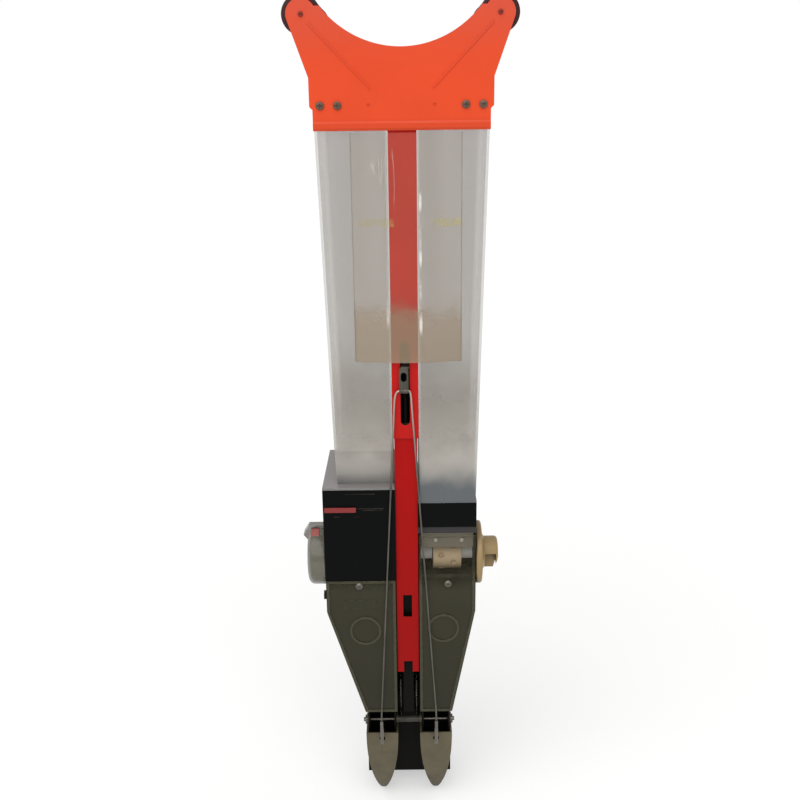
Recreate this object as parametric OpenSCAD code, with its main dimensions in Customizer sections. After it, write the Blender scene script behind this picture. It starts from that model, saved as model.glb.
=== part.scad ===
// Hand seed planter: two hoppers on a spine, a common metering shaft and two duckbills.
// Millimetres. Z is up, the front faces -Y and +X is to the right of someone facing it.
// Heights are above the jaw tips, unless a comment says otherwise.

/* [Yoke] */
// Width of a yoke plate at its waist
yoke_w = 181; // [176:0.5:200]
// Thickness of a yoke plate
yoke_t = 3; // [2:0.5:5]
// How far the plates reach down below the hoppers' rim
yoke_h = 40.5; // [35:0.5:45]
// Rise from the lower edge to the waist's upper end
waist_rise = 50; // [42:1:60]
// Rise from the lower edge to the tip centres
tip_rise = 108; // [102:1:125]
// Distance between the tip centres
tip_span = 191; // [186:1:210]
// Radius of a plate's tips
tip_r = 14.5; // [12:0.5:17]
// Radius of the round cut between the tips
cut_r = 100; // [92:1:104]
// Rise from the lower edge to the lowest point of the cut
cut_rise = 78; // [70:1:86]
// Height of the thick hem along the lower edge
hem_h = 9; // [6:0.5:12]
// How far the hem stands out
hem_out = 1.5; // [0.5:0.25:3]
// How far the diagonal ribs stand out
rib_out = 0.8; // [0.4:0.2:2]
// Length of the diagonal ribs
rib_l = 84; // [60:1:90]
// Width of the diagonal ribs
rib_w = 1.6; // [1:0.2:3]
// Diameter of the dimples beside the yoke screws
dimple_d = 3.4; // [2:0.2:5]
// Diameter of the yoke screws
yoke_screw_d = 5; // [4:0.5:6]

/* [Handles] */
// Diameter of a grip sleeve
grip_d = 38; // [28:1:40]
// Diameter of a handle bar
bar_d = 20; // [16:1:24]
// Diameter of the handle screws
handle_screw_d = 3; // [3:0.5:6]

/* [Hoppers] */
// Depth of the hoppers from front to rear
hopper_depth = 124; // [118:1:140]
// Wall of a hopper
hopper_wall = 2.5; // [1.5:0.25:4]
// Height of the hoppers' rim
hopper_h = 840; // [834:1:850]
// Distance of a hopper's side from the centre plane, at its rim
hopper_rim_x = 88; // [84:0.5:90]
// Distance of a hopper's side from the centre plane, at its base
hopper_base_x = 76.5; // [72:0.5:77]
// How far the fertiliser hopper's front draws back at its base
neck_in = 12; // [4:1:20]
// Height of the part that draws back
neck_h = 45; // [30:1:70]
// Thickness of a hopper's base flange
flange_t = 2.5; // [1.5:0.25:4]
// Thickness of the rib on a hopper's inner wall, beside the spine's tube
hopper_rib_t = 3; // [2:0.25:5]
// Depth of the rim under a flange
spigot_h = 8; // [5:0.5:9]
// Thickness of a lid
lid_t = 2.5; // [1.5:0.25:4]
// Diameter of a lid's hinge pin
lid_pin_d = 4; // [3:0.5:5]
// Width of a lid's finger grip
lid_grip_w = 24; // [16:1:40]

/* [Label film] */
// Width of the film
film_w = 112; // [90:1:120]
// Height of the film
film_h = 234; // [200:1:236]
// Width of the film's flat margins, which lie on the hoppers
film_edge = 4; // [2:0.5:8]
// Gap between the bowed film and the lug behind it
film_gap = 1.5; // [1:0.25:3]
// Thickness of the film
film_t = 0.4; // [0.2:0.1:0.8]

/* [Housings] */
// Width of the fertiliser housing
fert_w = 80; // [74:0.5:90]
// Width of the seed housing
seed_w = 65; // [63:0.5:68]
// How far the fertiliser housing's top stands above the shaft
fert_top = 92; // [88:0.5:96]
// How far the seed housing's top stands above the shaft
seed_top = 75; // [72:0.5:79]
// How far the fertiliser panel reaches below the shaft
panel_low = 18; // [14:1:28]
// How far the panel stands out from the covers
panel_out = 1.5; // [0.5:0.25:2]
// How far the fertiliser cover's screw lies below that panel
fert_screw_drop = 8; // [5:0.5:12]
// Width of the panel's raised bar
mark_w = 33; // [20:1:44]
// Height of the panel's raised bar
mark_h = 5; // [3:0.5:7]
// Width of the panel's two raised pads
stud_w = 7; // [4:0.5:9]
// Height of the black front strip on the seed housing
strip_h = 29; // [24:1:32]
// Height of the recessed ledge between that strip and the seed cover
ledge_h = 8; // [5:0.5:10]
// Wall of a housing
wall = 2.5; // [2:0.25:3]
// Width of a chute's outlet
chute_w = 39; // [35:0.5:42]
// Depth of a chute's outlet
chute_d = 45; // [42:0.5:48]
// Height of a chute's outlet
chute_h = 134; // [132:1:138]
// How far the housings' rear lips reach in towards the foot plate's tongue
lip_in = 2; // [1:0.25:3]
// How far below the shaft the chutes start to narrow
taper_h = 60; // [51:1:71]
// Thickness of a chute cover
cover_t = 2.5; // [1.5:0.25:3.5]
// How far a cover's edge and ring stand out
rim_out = 1.2; // [0.4:0.2:1.6]
// Width of a cover's raised edge
rim_w = 3; // [2:0.25:5]
// Width of the raised pad on the fertiliser cover
pad_w = 37; // [20:1:44]
// Height of that pad
pad_h = 11; // [6:0.5:14]
// Outer diameter of a cover's ring
ring_d = 36; // [26:1:40]
// Diameter of the cover screws
cover_screw_d = 4; // [3:0.5:5]
// Diameter of the bolts through housings and spine
bolt_d = 6; // [5:0.5:7]

/* [Feed gate] */
// Width of the gate
gate_w = 34; // [30:0.5:36]
// Height of the gate's front tab
gate_tab_h = 5.6; // [4.4:0.2:10]
// Length of the gate's blade from front to rear
gate_l = 76.3; // [66:0.1:90]
// Travel of the gate
gate_travel = 30; // [20:1:31]

/* [Spine] */
// Width of the lower tube
spine_w = 25; // [25:0.25:27]
// Depth of the lower tube
spine_d = 50; // [49:0.5:54]
// Wall of the spine
spine_t = 1.5; // [1.2:0.1:2]
// Height of the lower tube's end
spine_low = 187; // [176:1:190]
// Height of the sleeve's lower end
sleeve_low = 477; // [472:1:480]
// Width of the slot in the sleeve
slot_w = 10; // [9.4:0.2:12]
// Height of the slot's lower end
slot_low = 492; // [490:1:496]
// Height of the slot's upper end
slot_high = 585; // [580:1:600]
// Height of the window's middle
window_z = 273; // [262:1:280]
// Height of the window itself
window_h = 28; // [20:1:32]
// Width of the window and of the end notch
window_w = 10; // [8:0.5:12]
// Height of the end notch itself
notch_h = 14; // [12:1:20]
// Rise of the lower spine screw above the yoke's lower edge
spine_screw_rise = 14; // [12:0.5:15]
// Distance between the two spine screws
spine_screw_gap = 16; // [12:0.5:18]
// How far the upper guide's rivets lie behind the push rod
rivet_back = 22; // [18:0.5:26]

/* [Metering] */
// Diameter of the metering shaft
shaft_d = 8; // [6:0.5:9]
// Height of the shaft's axis
shaft_h = 326; // [322:1:328]
// Module of the pinion and rack
gear_m = 1.5; // [1.4:0.05:1.55]
// Number of the pinion's teeth
gear_n = 18; // [17:1:18]
// Width of the pinion
gear_w = 10; // [7:0.5:12]
// Diameter of the rollers
roller_d = 38; // [22:0.5:40]
// Length of the seed roller
seed_roller_l = 32; // [28:0.5:36]
// Length of the fertiliser roller
fert_roller_l = 45; // [38:0.5:50]
// Number of cells round a roller
cells = 6; // [4:1:8]
// Diameter of a seed cell
cell_d = 7; // [5:0.5:10]
// Depth of the throats over the rollers
throat_d = 10; // [6:0.5:14]
// Gap between the throats and the rollers
throat_gap = 0.8; // [0.5:0.1:2]
// Outer diameter of the shaft bushes
bush_d = 13; // [11:0.5:14]
// Outer diameter of the bushes' collars beside the rollers
collar_d = 15; // [14.5:0.5:24]
// How far above the shaft the seed funnel's front plate ends
plate_low = 19; // [16:0.5:24]
// Diameter of the seed knob
knob_d = 72; // [60:1:76]
// Diameter of the seed knob's hub
hub_d = 36; // [30:1:40]
// Length of the seed knob
knob_l = 26; // [25:0.5:34]
// Diameter of the fertiliser dial
dial_d = 70; // [52:1:72]
// Length of the fertiliser dial
dial_l = 19.6; // [18.6:0.2:22]
// Width of the dial's red insert
insert_w = 10.3; // [8:0.1:11]
// Length of the dial's red insert along its rim
insert_l = 13; // [8:0.25:14]
// How far the red insert lies in front of the dial's back
insert_in = 6; // [5:0.25:6.5]
// How far the red insert is turned from the dial's top towards the front
insert_tilt = 20; // [15:1:30]

/* [Duckbills] */
// Height of the hinge rod's axis
pivot_h = 101; // [98:0.5:104]
// Diameter of the hinge rod
pivot_d = 5; // [4:0.5:6]
// Outer diameter of the spacer tube on the hinge rod
spacer_d = 7.5; // [7:0.25:8]
// Height of the jaws' upper edge
jaw_top = 101.5; // [99:0.5:105]
// Thickness of the jaws
jaw_t = 2; // [1.5:0.25:2.5]
// Thickness of the holders' sheet
holder_t = 2; // [1.5:0.25:2.5]
// How far a jaw opens, in degrees
jaw_swing = 28; // [24:1:32]
// Diameter of a jaw's ear
ear_d = 16; // [12:0.5:18]
// Wire of the jaw springs
jaw_wire_d = 1; // [0.8:0.1:1.2]
// Curls of a jaw spring
jaw_curls = 12; // [8:1:14]

/* [Plunger] */
// Stroke of the foot plate
stroke = 14; // [12:0.25:14]
// Height of the foot plate's sole
foot_lift = 16; // [10:0.5:24]
// Width of the foot plate
foot_w = 103; // [90:1:120]
// Height of the foot plate itself
foot_h = 86; // [70:1:92]
// Thickness of the foot plate
foot_t = 3; // [2:0.25:4]
// Side gap of the foot plate's tongue between the housings
tongue_gap = 1; // [0.6:0.1:3]
// Length of the sole
sole_l = 46; // [30:1:60]
// Width of the push rod
rod_w = 12; // [10:0.5:12]
// Depth of the push rod without its teeth
rod_d = 8.6; // [8.2:0.2:10]
// Diameter of the push rod's round upper part
rod_top_d = 8; // [7:0.25:8]
// Height of the push rod's shoulder under the return spring
shoulder_h = 398; // [385:1:405]
// Height of the lug's upper face
lug_top = 559; // [555:0.5:562]
// Length of the lug
lug_l = 27; // [24:0.5:32]
// Width of the lug
lug_w = 8.8; // [7.5:0.2:9]
// Width of the lug's front tab
tab_w = 10; // [8:0.2:12]
// How far the tab's middle lies left of the slot's
tab_off = 1.3; // [0:0.1:2]
// Diameter of the pull wire
wire_d = 2; // [1.6:0.1:3]
// Width of the links
link_w = 4; // [3.5:0.25:7]
// Length of the links' ferrules
ferrule_l = 12; // [10:0.5:16]
// Diameter of the links' hooks
hook_d = 3; // [2.5:0.25:3.5]
// Wire of the return spring
return_wire_d = 1.4; // [1:0.1:1.8]
// Curls of the return spring
return_curls = 10; // [7:1:11]

/* [Fits] */
// Gap between pieces that are assembled together
fit = 0.3; // [0.2:0.05:0.4]
// Radial gap of turning and sliding bores
bore_fit = 0.05; // [0.03:0.01:0.09]
// Radial gap round screws, bolts and rivets
screw_fit = 0.2; // [0.1:0.05:0.4]
// Side gap between a jaw and its holder
jaw_gap = 0.4; // [0.35:0.05:0.6]
// Backlash between rack and pinion
backlash = 0.5; // [0.4:0.05:0.7]

/* [Hidden] */
$fn = 48;

// Planes that several pieces share
half = hopper_depth / 2;
cover_back = -half + cover_t;
sleeve_x = spine_w / 2 + fit + spine_t;
tube_front = -half + spine_t + fit;
tube_back = tube_front + spine_d;
rib_y = -half + neck_in + 1;
sleeve_back = tube_back + fit + spine_t;
hop_x = sleeve_x + fit;
box_x = spine_w / 2 + fit;
seed_x = box_x + seed_w;
fert_x = box_x + fert_w;
front_wall_y = cover_back + 1.5;

// Yoke
yoke_low = hopper_h - yoke_h;
step_w = 3;
skirt_rise = 20;
waist_x = yoke_w / 2;
skirt_x = waist_x - step_w;
tip_x = tip_span / 2;
tip_z = yoke_low + tip_rise;
waist_z = yoke_low + waist_rise;
cut_z = yoke_low + cut_rise + cut_r;
yoke_face = -half - yoke_t;
yoke_screw_z = yoke_low + 24;
spine_screw_zs = [yoke_low + spine_screw_rise, yoke_low + spine_screw_rise + spine_screw_gap];
rib_x = tip_x - 35.5;
rib_z = tip_z - 38;
dimple_x = tip_x - 63;
yoke_screw_xs = [skirt_x - 24.5, skirt_x - 7.5];
flare_run = tip_x - waist_x;
flare_rise = tip_z - waist_z;
flare_len = sqrt(flare_run * flare_run + flare_rise * flare_rise);
flare_a = atan2(flare_rise, flare_run) - asin(tip_r / flare_len) - 90;

// Housings and chutes
fert_top_z = shaft_h + fert_top;
seed_top_z = shaft_h + seed_top;
panel_z = shaft_h - panel_low;
taper_z = shaft_h - taper_h;
chute_back = cover_back + chute_d;
chute_mid = box_x + chute_w / 2;
chute_neck = 14;
strip_low = seed_top_z - strip_h;
panel_face = -half - panel_out;
mark_x = fert_x - 58;

// Metering
gear_r = gear_m * gear_n / 2;
gear_room = 2.3;
addendum = 0.9 * gear_m;
dedendum = 1.25 * gear_m;
pressure = 20;
shaft_y = tube_back - spine_t - gear_room - gear_r - gear_m;
rack_y = shaft_y - gear_r;
pitch = PI * gear_m;
tooth = pitch / 2 - backlash / 2;
seed_roller_x = box_x + 17.2;
fert_roller_x = box_x + 17.2;
knob_x = seed_x + 0.6;
dial_x = fert_x + 0.6;
shaft_right = knob_x + 17;
shaft_left = dial_x + 12;
throat_z = shaft_h + roller_d / 2 + throat_gap;
throat_y0 = shaft_y - throat_d / 2 - 2;
throat_y1 = shaft_y + throat_d / 2;

// Duckbills
holder_half = chute_w / 2 - wall - fit;
jaw_half = holder_half + jaw_gap + jaw_t;
rear_back = chute_back - wall - fit;
rear_front = rear_back - holder_t;
jaw_back = rear_front - fit;
arm = stroke / 2 / tan(jaw_swing / 2);
pivot_y = jaw_back - 9.3;
hook_y = pivot_y - arm;
hook_z = pivot_h - stroke / 2;
jaw_front = hook_y - jaw_t / 2;
holder_front = jaw_front + 8;
holder_top = chute_h + 26;
stub_y = jaw_back - 2.3;
stub_z = pivot_h - 3;
post_y = stub_y;
post_z = chute_h + 24;
post_d = 3;
spring_x = box_x - 3.2;

// Plunger
rod_back = rack_y - dedendum;
rod_front = rod_back - rod_d;
rod_y = rod_front + rod_d / 2;
rivet_y = rod_y + rivet_back;
arm_low = 128;
arm_high = 146;
foot_face = rear_back + 1.8;
foot_top = foot_lift + foot_h;
tongue_x = box_x - tongue_gap;
tongue_top = spine_low - stroke - 3;
guide_low = spine_low + notch_h + 4;
guide_high = sleeve_low + 3;
guide_t = 12;
lug_t = 2;
wire_y = -half - 4;
eye_z = lug_top - lug_l;
link_top = pivot_h + 21;
tab_x0 = -tab_off - tab_w / 2;
tab_x1 = -tab_off + tab_w / 2;
stud_d = rod_top_d - 2;
spring_low = shoulder_h + 3;

// Fertiliser gate
gate_z = fert_top_z - 24;
gate_t = 2;
gate_x = fert_x - wall - fit;
gate_back = cover_back + 0.5 + gate_l;
deck_z = gate_z - 0.35;

// Springs, as points on the wire's middle line
coil_r = 2.1;
coil_pitch = 1.9;
coil_top = post_z - 6;
coil_low = coil_top - jaw_curls * coil_pitch;
loop_r = post_d / 2 + fit + jaw_wire_d / 2;
return_r = rod_top_d / 2 + 1.2 + return_wire_d / 2;

// Shared helpers

function unit(v) = v / norm(v);
function along(p, i) = unit(p[min(i + 1, len(p) - 1)] - p[max(i - 1, 0)]);
function carry(n, t) = unit(n - (n * t) * t);
function carried(t, n0) = [
    for (i = 0, n = carry(n0, t[0]); i < len(t); i = i + 1, n = i < len(t) ? carry(n, t[i]) : n) n];
function self_gap(p, d, skip) = min([
    for (i = [0 : len(p) - 1]) for (j = [i + skip : 1 : len(p) - 1]) norm(p[i] - p[j])]) - d;

// A slab between two X planes, from a shape drawn in Y and Z
module slab_x(x0, x1) {
    translate([x0, 0, 0]) rotate([90, 0, 90]) linear_extrude(x1 - x0) children();
}

// A slab between two Y planes, from a shape drawn in X and Z
module slab_y(y0, y1) {
    translate([0, y1, 0]) rotate([90, 0, 0]) linear_extrude(y1 - y0) children();
}

module block(x0, x1, y0, y1, z0, z1) {
    translate([x0, y0, z0]) cube([x1 - x0, y1 - y0, z1 - z0]);
}

module rod_x(x0, x1, y, z, d) {
    translate([x0, y, z]) rotate([0, 90, 0]) cylinder(h = x1 - x0, d = d);
}

module rod_along_y(y0, y1, x, z, d) {
    translate([x, y1, z]) rotate([90, 0, 0]) cylinder(h = y1 - y0, d = d);
}

module rod_z(z0, z1, x, y, d) {
    translate([x, y, z0]) cylinder(h = z1 - z0, d = d);
}

// A hexagon's prism along Y, for nuts
module hex_along_y(y0, y1, x, z, d) {
    translate([x, y1, z]) rotate([90, 0, 0]) cylinder(h = y1 - y0, d = d, $fn = 6);
}

module hex_x(x0, x1, y, z, d) {
    translate([x0, y, z]) rotate([0, 90, 0]) cylinder(h = x1 - x0, d = d, $fn = 6);
}

// Right-hand geometry, mirrored for the left side
module side(s) {
    if (s < 0) mirror([1, 0, 0]) children();
    else children();
}

// A box that narrows between two heights, each end given as [x0, x1, y0, y1]
module funnel(lo, z0, hi, z1) {
    polyhedron(
        [[lo[0], lo[2], z0], [lo[1], lo[2], z0], [lo[1], lo[3], z0], [lo[0], lo[3], z0],
         [hi[0], hi[2], z1], [hi[1], hi[2], z1], [hi[1], hi[3], z1], [hi[0], hi[3], z1]],
        [[0, 1, 2, 3], [4, 5, 1, 0], [7, 6, 5, 4], [5, 6, 2, 1], [6, 7, 3, 2], [7, 4, 0, 3]]);
}

// One unbroken tube along the points p
module tube(p, d, n0, m = 6) {
    t = [for (i = [0 : len(p) - 1]) along(p, i)];
    n = carried(t, n0);
    pts = [for (i = [0 : len(p) - 1]) for (k = [0 : m - 1])
        p[i] + d / 2 * (cos(360 * k / m) * n[i] + sin(360 * k / m) * cross(t[i], n[i]))];
    skin = [for (i = [0 : len(p) - 2]) for (k = [0 : m - 1]) for (f = [0, 1])
        f == 0 ? [i * m + k, (i + 1) * m + (k + 1) % m, i * m + (k + 1) % m]
               : [i * m + k, (i + 1) * m + k, (i + 1) * m + (k + 1) % m]];
    polyhedron(pts, concat(
        [[for (k = [0 : m - 1]) k]], skin, [[for (k = [m - 1 : -1 : 0]) (len(p) - 1) * m + k]]));
}

// Yoke and handles

module yoke_outline() {
    difference() {
        union() {
            polygon([
                [-skirt_x, yoke_low], [skirt_x, yoke_low],
                [skirt_x, yoke_low + skirt_rise], [waist_x, yoke_low + skirt_rise + step_w],
                [waist_x, waist_z],
                [tip_x + tip_r * cos(flare_a), tip_z + tip_r * sin(flare_a)],
                [tip_x - tip_r * cos(30), tip_z + tip_r * sin(30)],
                [-tip_x + tip_r * cos(30), tip_z + tip_r * sin(30)],
                [-tip_x - tip_r * cos(flare_a), tip_z + tip_r * sin(flare_a)],
                [-waist_x, waist_z],
                [-waist_x, yoke_low + skirt_rise + step_w], [-skirt_x, yoke_low + skirt_rise]]);
            for (s = [-1, 1]) translate([s * tip_x, tip_z]) circle(tip_r);
        }
        translate([0, cut_z]) circle(cut_r, $fn = 160);
    }
}

module yoke_plate() {
    difference() {
        union() {
            slab_y(yoke_face, -half) yoke_outline();
            slab_x(-skirt_x, skirt_x) polygon([
                [yoke_face + 0.5, yoke_low], [yoke_face, yoke_low],
                [yoke_face - hem_out, yoke_low + 2.5], [yoke_face - hem_out, yoke_low + hem_h - 2],
                [yoke_face, yoke_low + hem_h], [yoke_face + 0.5, yoke_low + hem_h]]);
            for (s = [-1, 1]) slab_y(yoke_face - rib_out, yoke_face + 0.5)
                translate([s * rib_x, rib_z]) rotate(s * 45.8) square([rib_l, rib_w], center = true);
        }
        for (s = [-1, 1]) {
            for (x = yoke_screw_xs)
                rod_along_y(yoke_face - 5, -half + 1, s * x, yoke_screw_z, yoke_screw_d + 2 * screw_fit);
            rod_along_y(yoke_face - 5, -half + 1, s * tip_x, tip_z, handle_screw_d + 2 * screw_fit);
            rod_along_y(yoke_face - 1, yoke_face + 0.8, s * dimple_x, yoke_screw_z, dimple_d);
        }
    }
}

module yoke_front() {
    color([0.93, 0.33, 0.15]) difference() {
        yoke_plate();
        for (z = spine_screw_zs) rod_along_y(-half - 2, -half + 1, 0, z, 4 + 2 * screw_fit);
    }
}

module yoke_rear() {
    color([0.93, 0.33, 0.15]) difference() {
        mirror([0, 1, 0]) yoke_plate();
        for (s = [-1, 1])
            rod_along_y(half - 1, half + yoke_t + 1, s * 4.5, hopper_h + 6, 3 + 2 * screw_fit);
    }
}

module handle_bar(s) {
    difference() {
        rod_along_y(-half, half, s * tip_x, tip_z, bar_d);
        for (e = [-1, 1]) translate([0, e * (half - 11), 0])
            rod_along_y(-12, 12, s * tip_x, tip_z, handle_screw_d + 2 * bore_fit);
    }
}

module left_handle_bar() { color([0.5, 0.42, 0.32]) handle_bar(-1); }
module right_handle_bar() { color([0.5, 0.42, 0.32]) handle_bar(1); }

module grip(s) {
    difference() {
        rod_along_y(-half + 0.4, half - 0.4, s * tip_x, tip_z, grip_d);
        rod_along_y(-half - 1, half + 1, s * tip_x, tip_z, bar_d + 2 * bore_fit);
    }
}

module left_grip() { color([0.12, 0.06, 0.06]) grip(-1); }
module right_grip() { color([0.12, 0.06, 0.06]) grip(1); }

module handle_screws() {
    color([0.6, 0.6, 0.62]) for (s = [-1, 1]) for (e = [0, 1]) mirror([0, e, 0]) {
        rod_along_y(yoke_face - 2.2, yoke_face, s * tip_x, tip_z, handle_screw_d + 2);
        rod_along_y(yoke_face - 0.5, -half + 18, s * tip_x, tip_z, handle_screw_d);
    }
}

module yoke_screws() {
    color([0.6, 0.6, 0.62]) for (s = [-1, 1]) for (x = yoke_screw_xs) for (e = [0, 1]) mirror([0, e, 0])
        difference() {
            union() {
                rod_along_y(yoke_face - 3, yoke_face, s * x, yoke_screw_z, yoke_screw_d + 3);
                rod_along_y(yoke_face - 0.5, -half + hopper_wall + 5, s * x, yoke_screw_z, yoke_screw_d);
            }
            hex_along_y(yoke_face - 4, yoke_face - 1, s * x, yoke_screw_z, yoke_screw_d - 0.6);
        }
}

module yoke_nuts() {
    color([0.6, 0.6, 0.62]) for (s = [-1, 1]) for (x = yoke_screw_xs) for (e = [0, 1]) mirror([0, e, 0])
        difference() {
            hex_along_y(-half + hopper_wall, -half + hopper_wall + 4, s * x, yoke_screw_z,
                yoke_screw_d + 5);
            rod_along_y(-half, -half + hopper_wall + 5, s * x, yoke_screw_z, yoke_screw_d + 2 * bore_fit);
        }
}

// Hoppers, lids and film

module hopper(box_end, z0, neck, front) {
    difference() {
        union() {
            intersection() {
                slab_y(-half, half) polygon([
                    [hop_x, z0], [hopper_base_x, z0], [hopper_rim_x, hopper_h], [hop_x, hopper_h]]);
                slab_x(hop_x, hopper_rim_x) polygon([
                    [-half + neck, z0], [half, z0], [half, hopper_h], [-half, hopper_h],
                    [-half, z0 + neck_h]]);
            }
            block(box_x, box_end, front, half, z0, z0 + flange_t);
            block(spine_w / 2 + 0.5, hop_x + 1, rib_y, rib_y + hopper_rib_t, z0 + 1, sleeve_low - 1);
            block(box_x + wall + fit, box_end - wall - fit, front_wall_y + fit, half - wall - fit,
                z0 - spigot_h, z0 + 1);
        }
        intersection() {
            slab_y(-half, half) polygon([
                [hop_x + hopper_wall, z0 - spigot_h - 1], [hopper_base_x - hopper_wall, z0 - spigot_h - 1],
                [hopper_base_x - hopper_wall, z0],
                [hopper_rim_x - hopper_wall, hopper_h], [hopper_rim_x - hopper_wall, hopper_h + 1],
                [hop_x + hopper_wall, hopper_h + 1]]);
            slab_x(hop_x, hopper_rim_x) polygon([
                [-half + neck + hopper_wall + 2, z0 - spigot_h - 1],
                [half - hopper_wall - 2, z0 - spigot_h - 1],
                [half - hopper_wall, z0], [half - hopper_wall, hopper_h + 1],
                [-half + hopper_wall, hopper_h + 1], [-half + hopper_wall, z0 + neck_h],
                [-half + neck + hopper_wall, z0]]);
        }
        for (x = yoke_screw_xs)
            rod_along_y(-half - 1, half + 1, x, yoke_screw_z, yoke_screw_d + 2 * screw_fit);
    }
}

module left_hopper() {
    color([0.75, 0.75, 0.73, 0.4]) side(-1) hopper(fert_x, fert_top_z, neck_in, panel_face);
}

module right_hopper() {
    color([0.75, 0.75, 0.73, 0.4]) hopper(seed_x, seed_top_z, 0, -half);
}

lid_pin_x = 9.5;
lid_pin_z = hopper_h + 9;
barrel_d = lid_pin_d + 4;
lid_y = half - 1.5;

module lid() {
    low = hopper_h + fit;
    difference() {
        union() {
            block(hop_x + 2.4, hopper_rim_x - 1, -lid_y, lid_y, low, low + lid_t);
            slab_y(-half + 8, half - 8) polygon([
                [lid_pin_x, lid_pin_z - 3.6], [hop_x + 2.4, low], [hop_x + 7, low],
                [hop_x + 7, low + lid_t], [lid_pin_x + 3.4, lid_pin_z - 1]]);
            rod_along_y(-half + 8, half - 8, lid_pin_x, lid_pin_z, barrel_d);
            block(hopper_rim_x - 9, hopper_rim_x - 1, -lid_grip_w / 2, lid_grip_w / 2, low, low + lid_t + 5);
        }
        rod_along_y(-half, half, lid_pin_x, lid_pin_z, lid_pin_d + 2 * bore_fit);
    }
}

module left_lid() { color([0.07, 0.07, 0.08]) side(-1) lid(); }
module right_lid() { color([0.07, 0.07, 0.08]) lid(); }

module lid_bridge() {
    color([0.07, 0.07, 0.08]) difference() {
        union() {
            block(-lid_pin_x + 5, lid_pin_x - 5, -half + fit, half - fit, hopper_h, hopper_h + 3);
            for (e = [0, 1]) mirror([0, e, 0])
                block(-sleeve_x, sleeve_x, -half + fit, -half + 7, hopper_h, lid_pin_z + barrel_d / 2);
        }
        for (s = [-1, 1]) {
            rod_along_y(-half, half, s * lid_pin_x, lid_pin_z, lid_pin_d + 2 * bore_fit);
            rod_along_y(half - 7.5, half + 1, s * 4.5, hopper_h + 6, 3 + 2 * bore_fit);
        }
    }
}

module lid_pins() {
    color([0.6, 0.6, 0.62]) for (s = [-1, 1])
        rod_along_y(-half + 0.6, half - 0.6, s * lid_pin_x, lid_pin_z, lid_pin_d);
}

module bridge_screws() {
    color([0.6, 0.6, 0.62]) for (s = [-1, 1]) {
        rod_along_y(half + yoke_t, half + yoke_t + 2, s * 4.5, hopper_h + 6, 6);
        rod_along_y(half - 6.5, half + yoke_t + 0.5, s * 4.5, hopper_h + 6, 3);
    }
}

// The film lies on the hoppers at its margins and bows out over the spine
film_rise = lug_t / 2 - wire_y - half + film_gap;
film_mid = 4;
film_steps = 12;

module label_film() {
    w = film_w / 2;
    m = w - film_edge;
    back = [for (i = [-film_steps : film_steps])
        [film_mid + m * i / film_steps, -half - film_rise * (1 - pow(i / film_steps, 2))]];
    color([0.85, 0.8, 0.66, 0.3]) translate([0, 0, yoke_low - 2 - film_h]) linear_extrude(film_h)
        polygon(concat(
            [[film_mid - w, -half]], back, [[film_mid + w, -half], [film_mid + w, -half - film_t]],
            [for (i = [len(back) - 1 : -1 : 0]) back[i] - [0, film_t]],
            [[film_mid - w, -half - film_t]]));
}

// Spine

module slot_shape(w, z0, z1) {
    translate([-w / 2, z0 + w / 2]) square([w, z1 - z0 - w]);
    translate([0, z0 + w / 2]) circle(w / 2);
    translate([0, z1 - w / 2]) circle(w / 2);
}

rivet_d = 4;
guide_low_mid = guide_low + guide_t / 2;
guide_high_mid = guide_high + guide_t / 2;

module spine_sleeve() {
    color([0.7, 0.09, 0.08]) difference() {
        block(-sleeve_x, sleeve_x, -half, sleeve_back, sleeve_low, hopper_h);
        block(-sleeve_x + spine_t, sleeve_x - spine_t, -half + spine_t, sleeve_back - spine_t,
            sleeve_low - 1, hopper_h + 1);
        slab_y(-half - 1, -half + spine_t + 1) slot_shape(slot_w, slot_low, slot_high);
        for (z = spine_screw_zs) rod_along_y(-half - 1, -half + 3, 0, z, 4 + 2 * screw_fit);
        rod_x(-sleeve_x - 1, sleeve_x + 1, rivet_y, guide_high_mid, rivet_d + 2 * screw_fit);
    }
}

module spine_tube() {
    x1 = spine_w / 2;
    top = slot_low + 45;
    color([0.62, 0.08, 0.06]) difference() {
        block(-x1, x1, tube_front, tube_back, spine_low, top);
        block(-x1 + spine_t, x1 - spine_t, tube_front + spine_t, tube_back - spine_t,
            spine_low - 1, top + 1);
        block(-slot_w / 2 - 0.5, slot_w / 2 + 0.5, tube_front - 1, tube_front + spine_t + 1,
            slot_low - 1, top + 1);
        slab_y(tube_front - 1, tube_front + spine_t + 1) {
            translate([-window_w / 2, window_z - window_h / 2]) square([window_w, window_h]);
            translate([-window_w / 2, spine_low - 1]) square([window_w, notch_h + 1]);
        }
        rod_x(-x1 - 1, x1 + 1, shaft_y, shaft_h, shaft_d + 1);
        for (z = bolt_zs) rod_x(-x1 - 1, x1 + 1, bolt_y, z, bolt_d + 2 * screw_fit);
        rod_x(-x1 - 1, x1 + 1, rivet_y, guide_high_mid, rivet_d + 2 * screw_fit);
        rod_x(-x1 - 1, x1 + 1, rod_y, guide_low_mid, rivet_d + 2 * screw_fit);
    }
}

module spine_screws() {
    color([0.6, 0.6, 0.62]) for (z = spine_screw_zs) {
        rod_along_y(-half + spine_t, -half + spine_t + 2.5, 0, z, 8);
        rod_along_y(-half - 1.8, -half + spine_t + 0.5, 0, z, 4);
    }
}

module spine_rivets() {
    x1 = spine_w / 2;
    color([0.62, 0.08, 0.06]) for (s = [0, 1]) mirror([s, 0, 0]) {
        rod_x(x1 - spine_t - 3, sleeve_x + 0.1, rivet_y, guide_high_mid, rivet_d);
        rod_x(x1 - spine_t - 3, x1 + 0.15, rod_y, guide_low_mid, rivet_d);
    }
}

module guide(y1, z0) {
    x1 = spine_w / 2 - spine_t - fit;
    block(-x1, x1, tube_front + spine_t + fit, y1, z0, z0 + guide_t);
}

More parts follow.
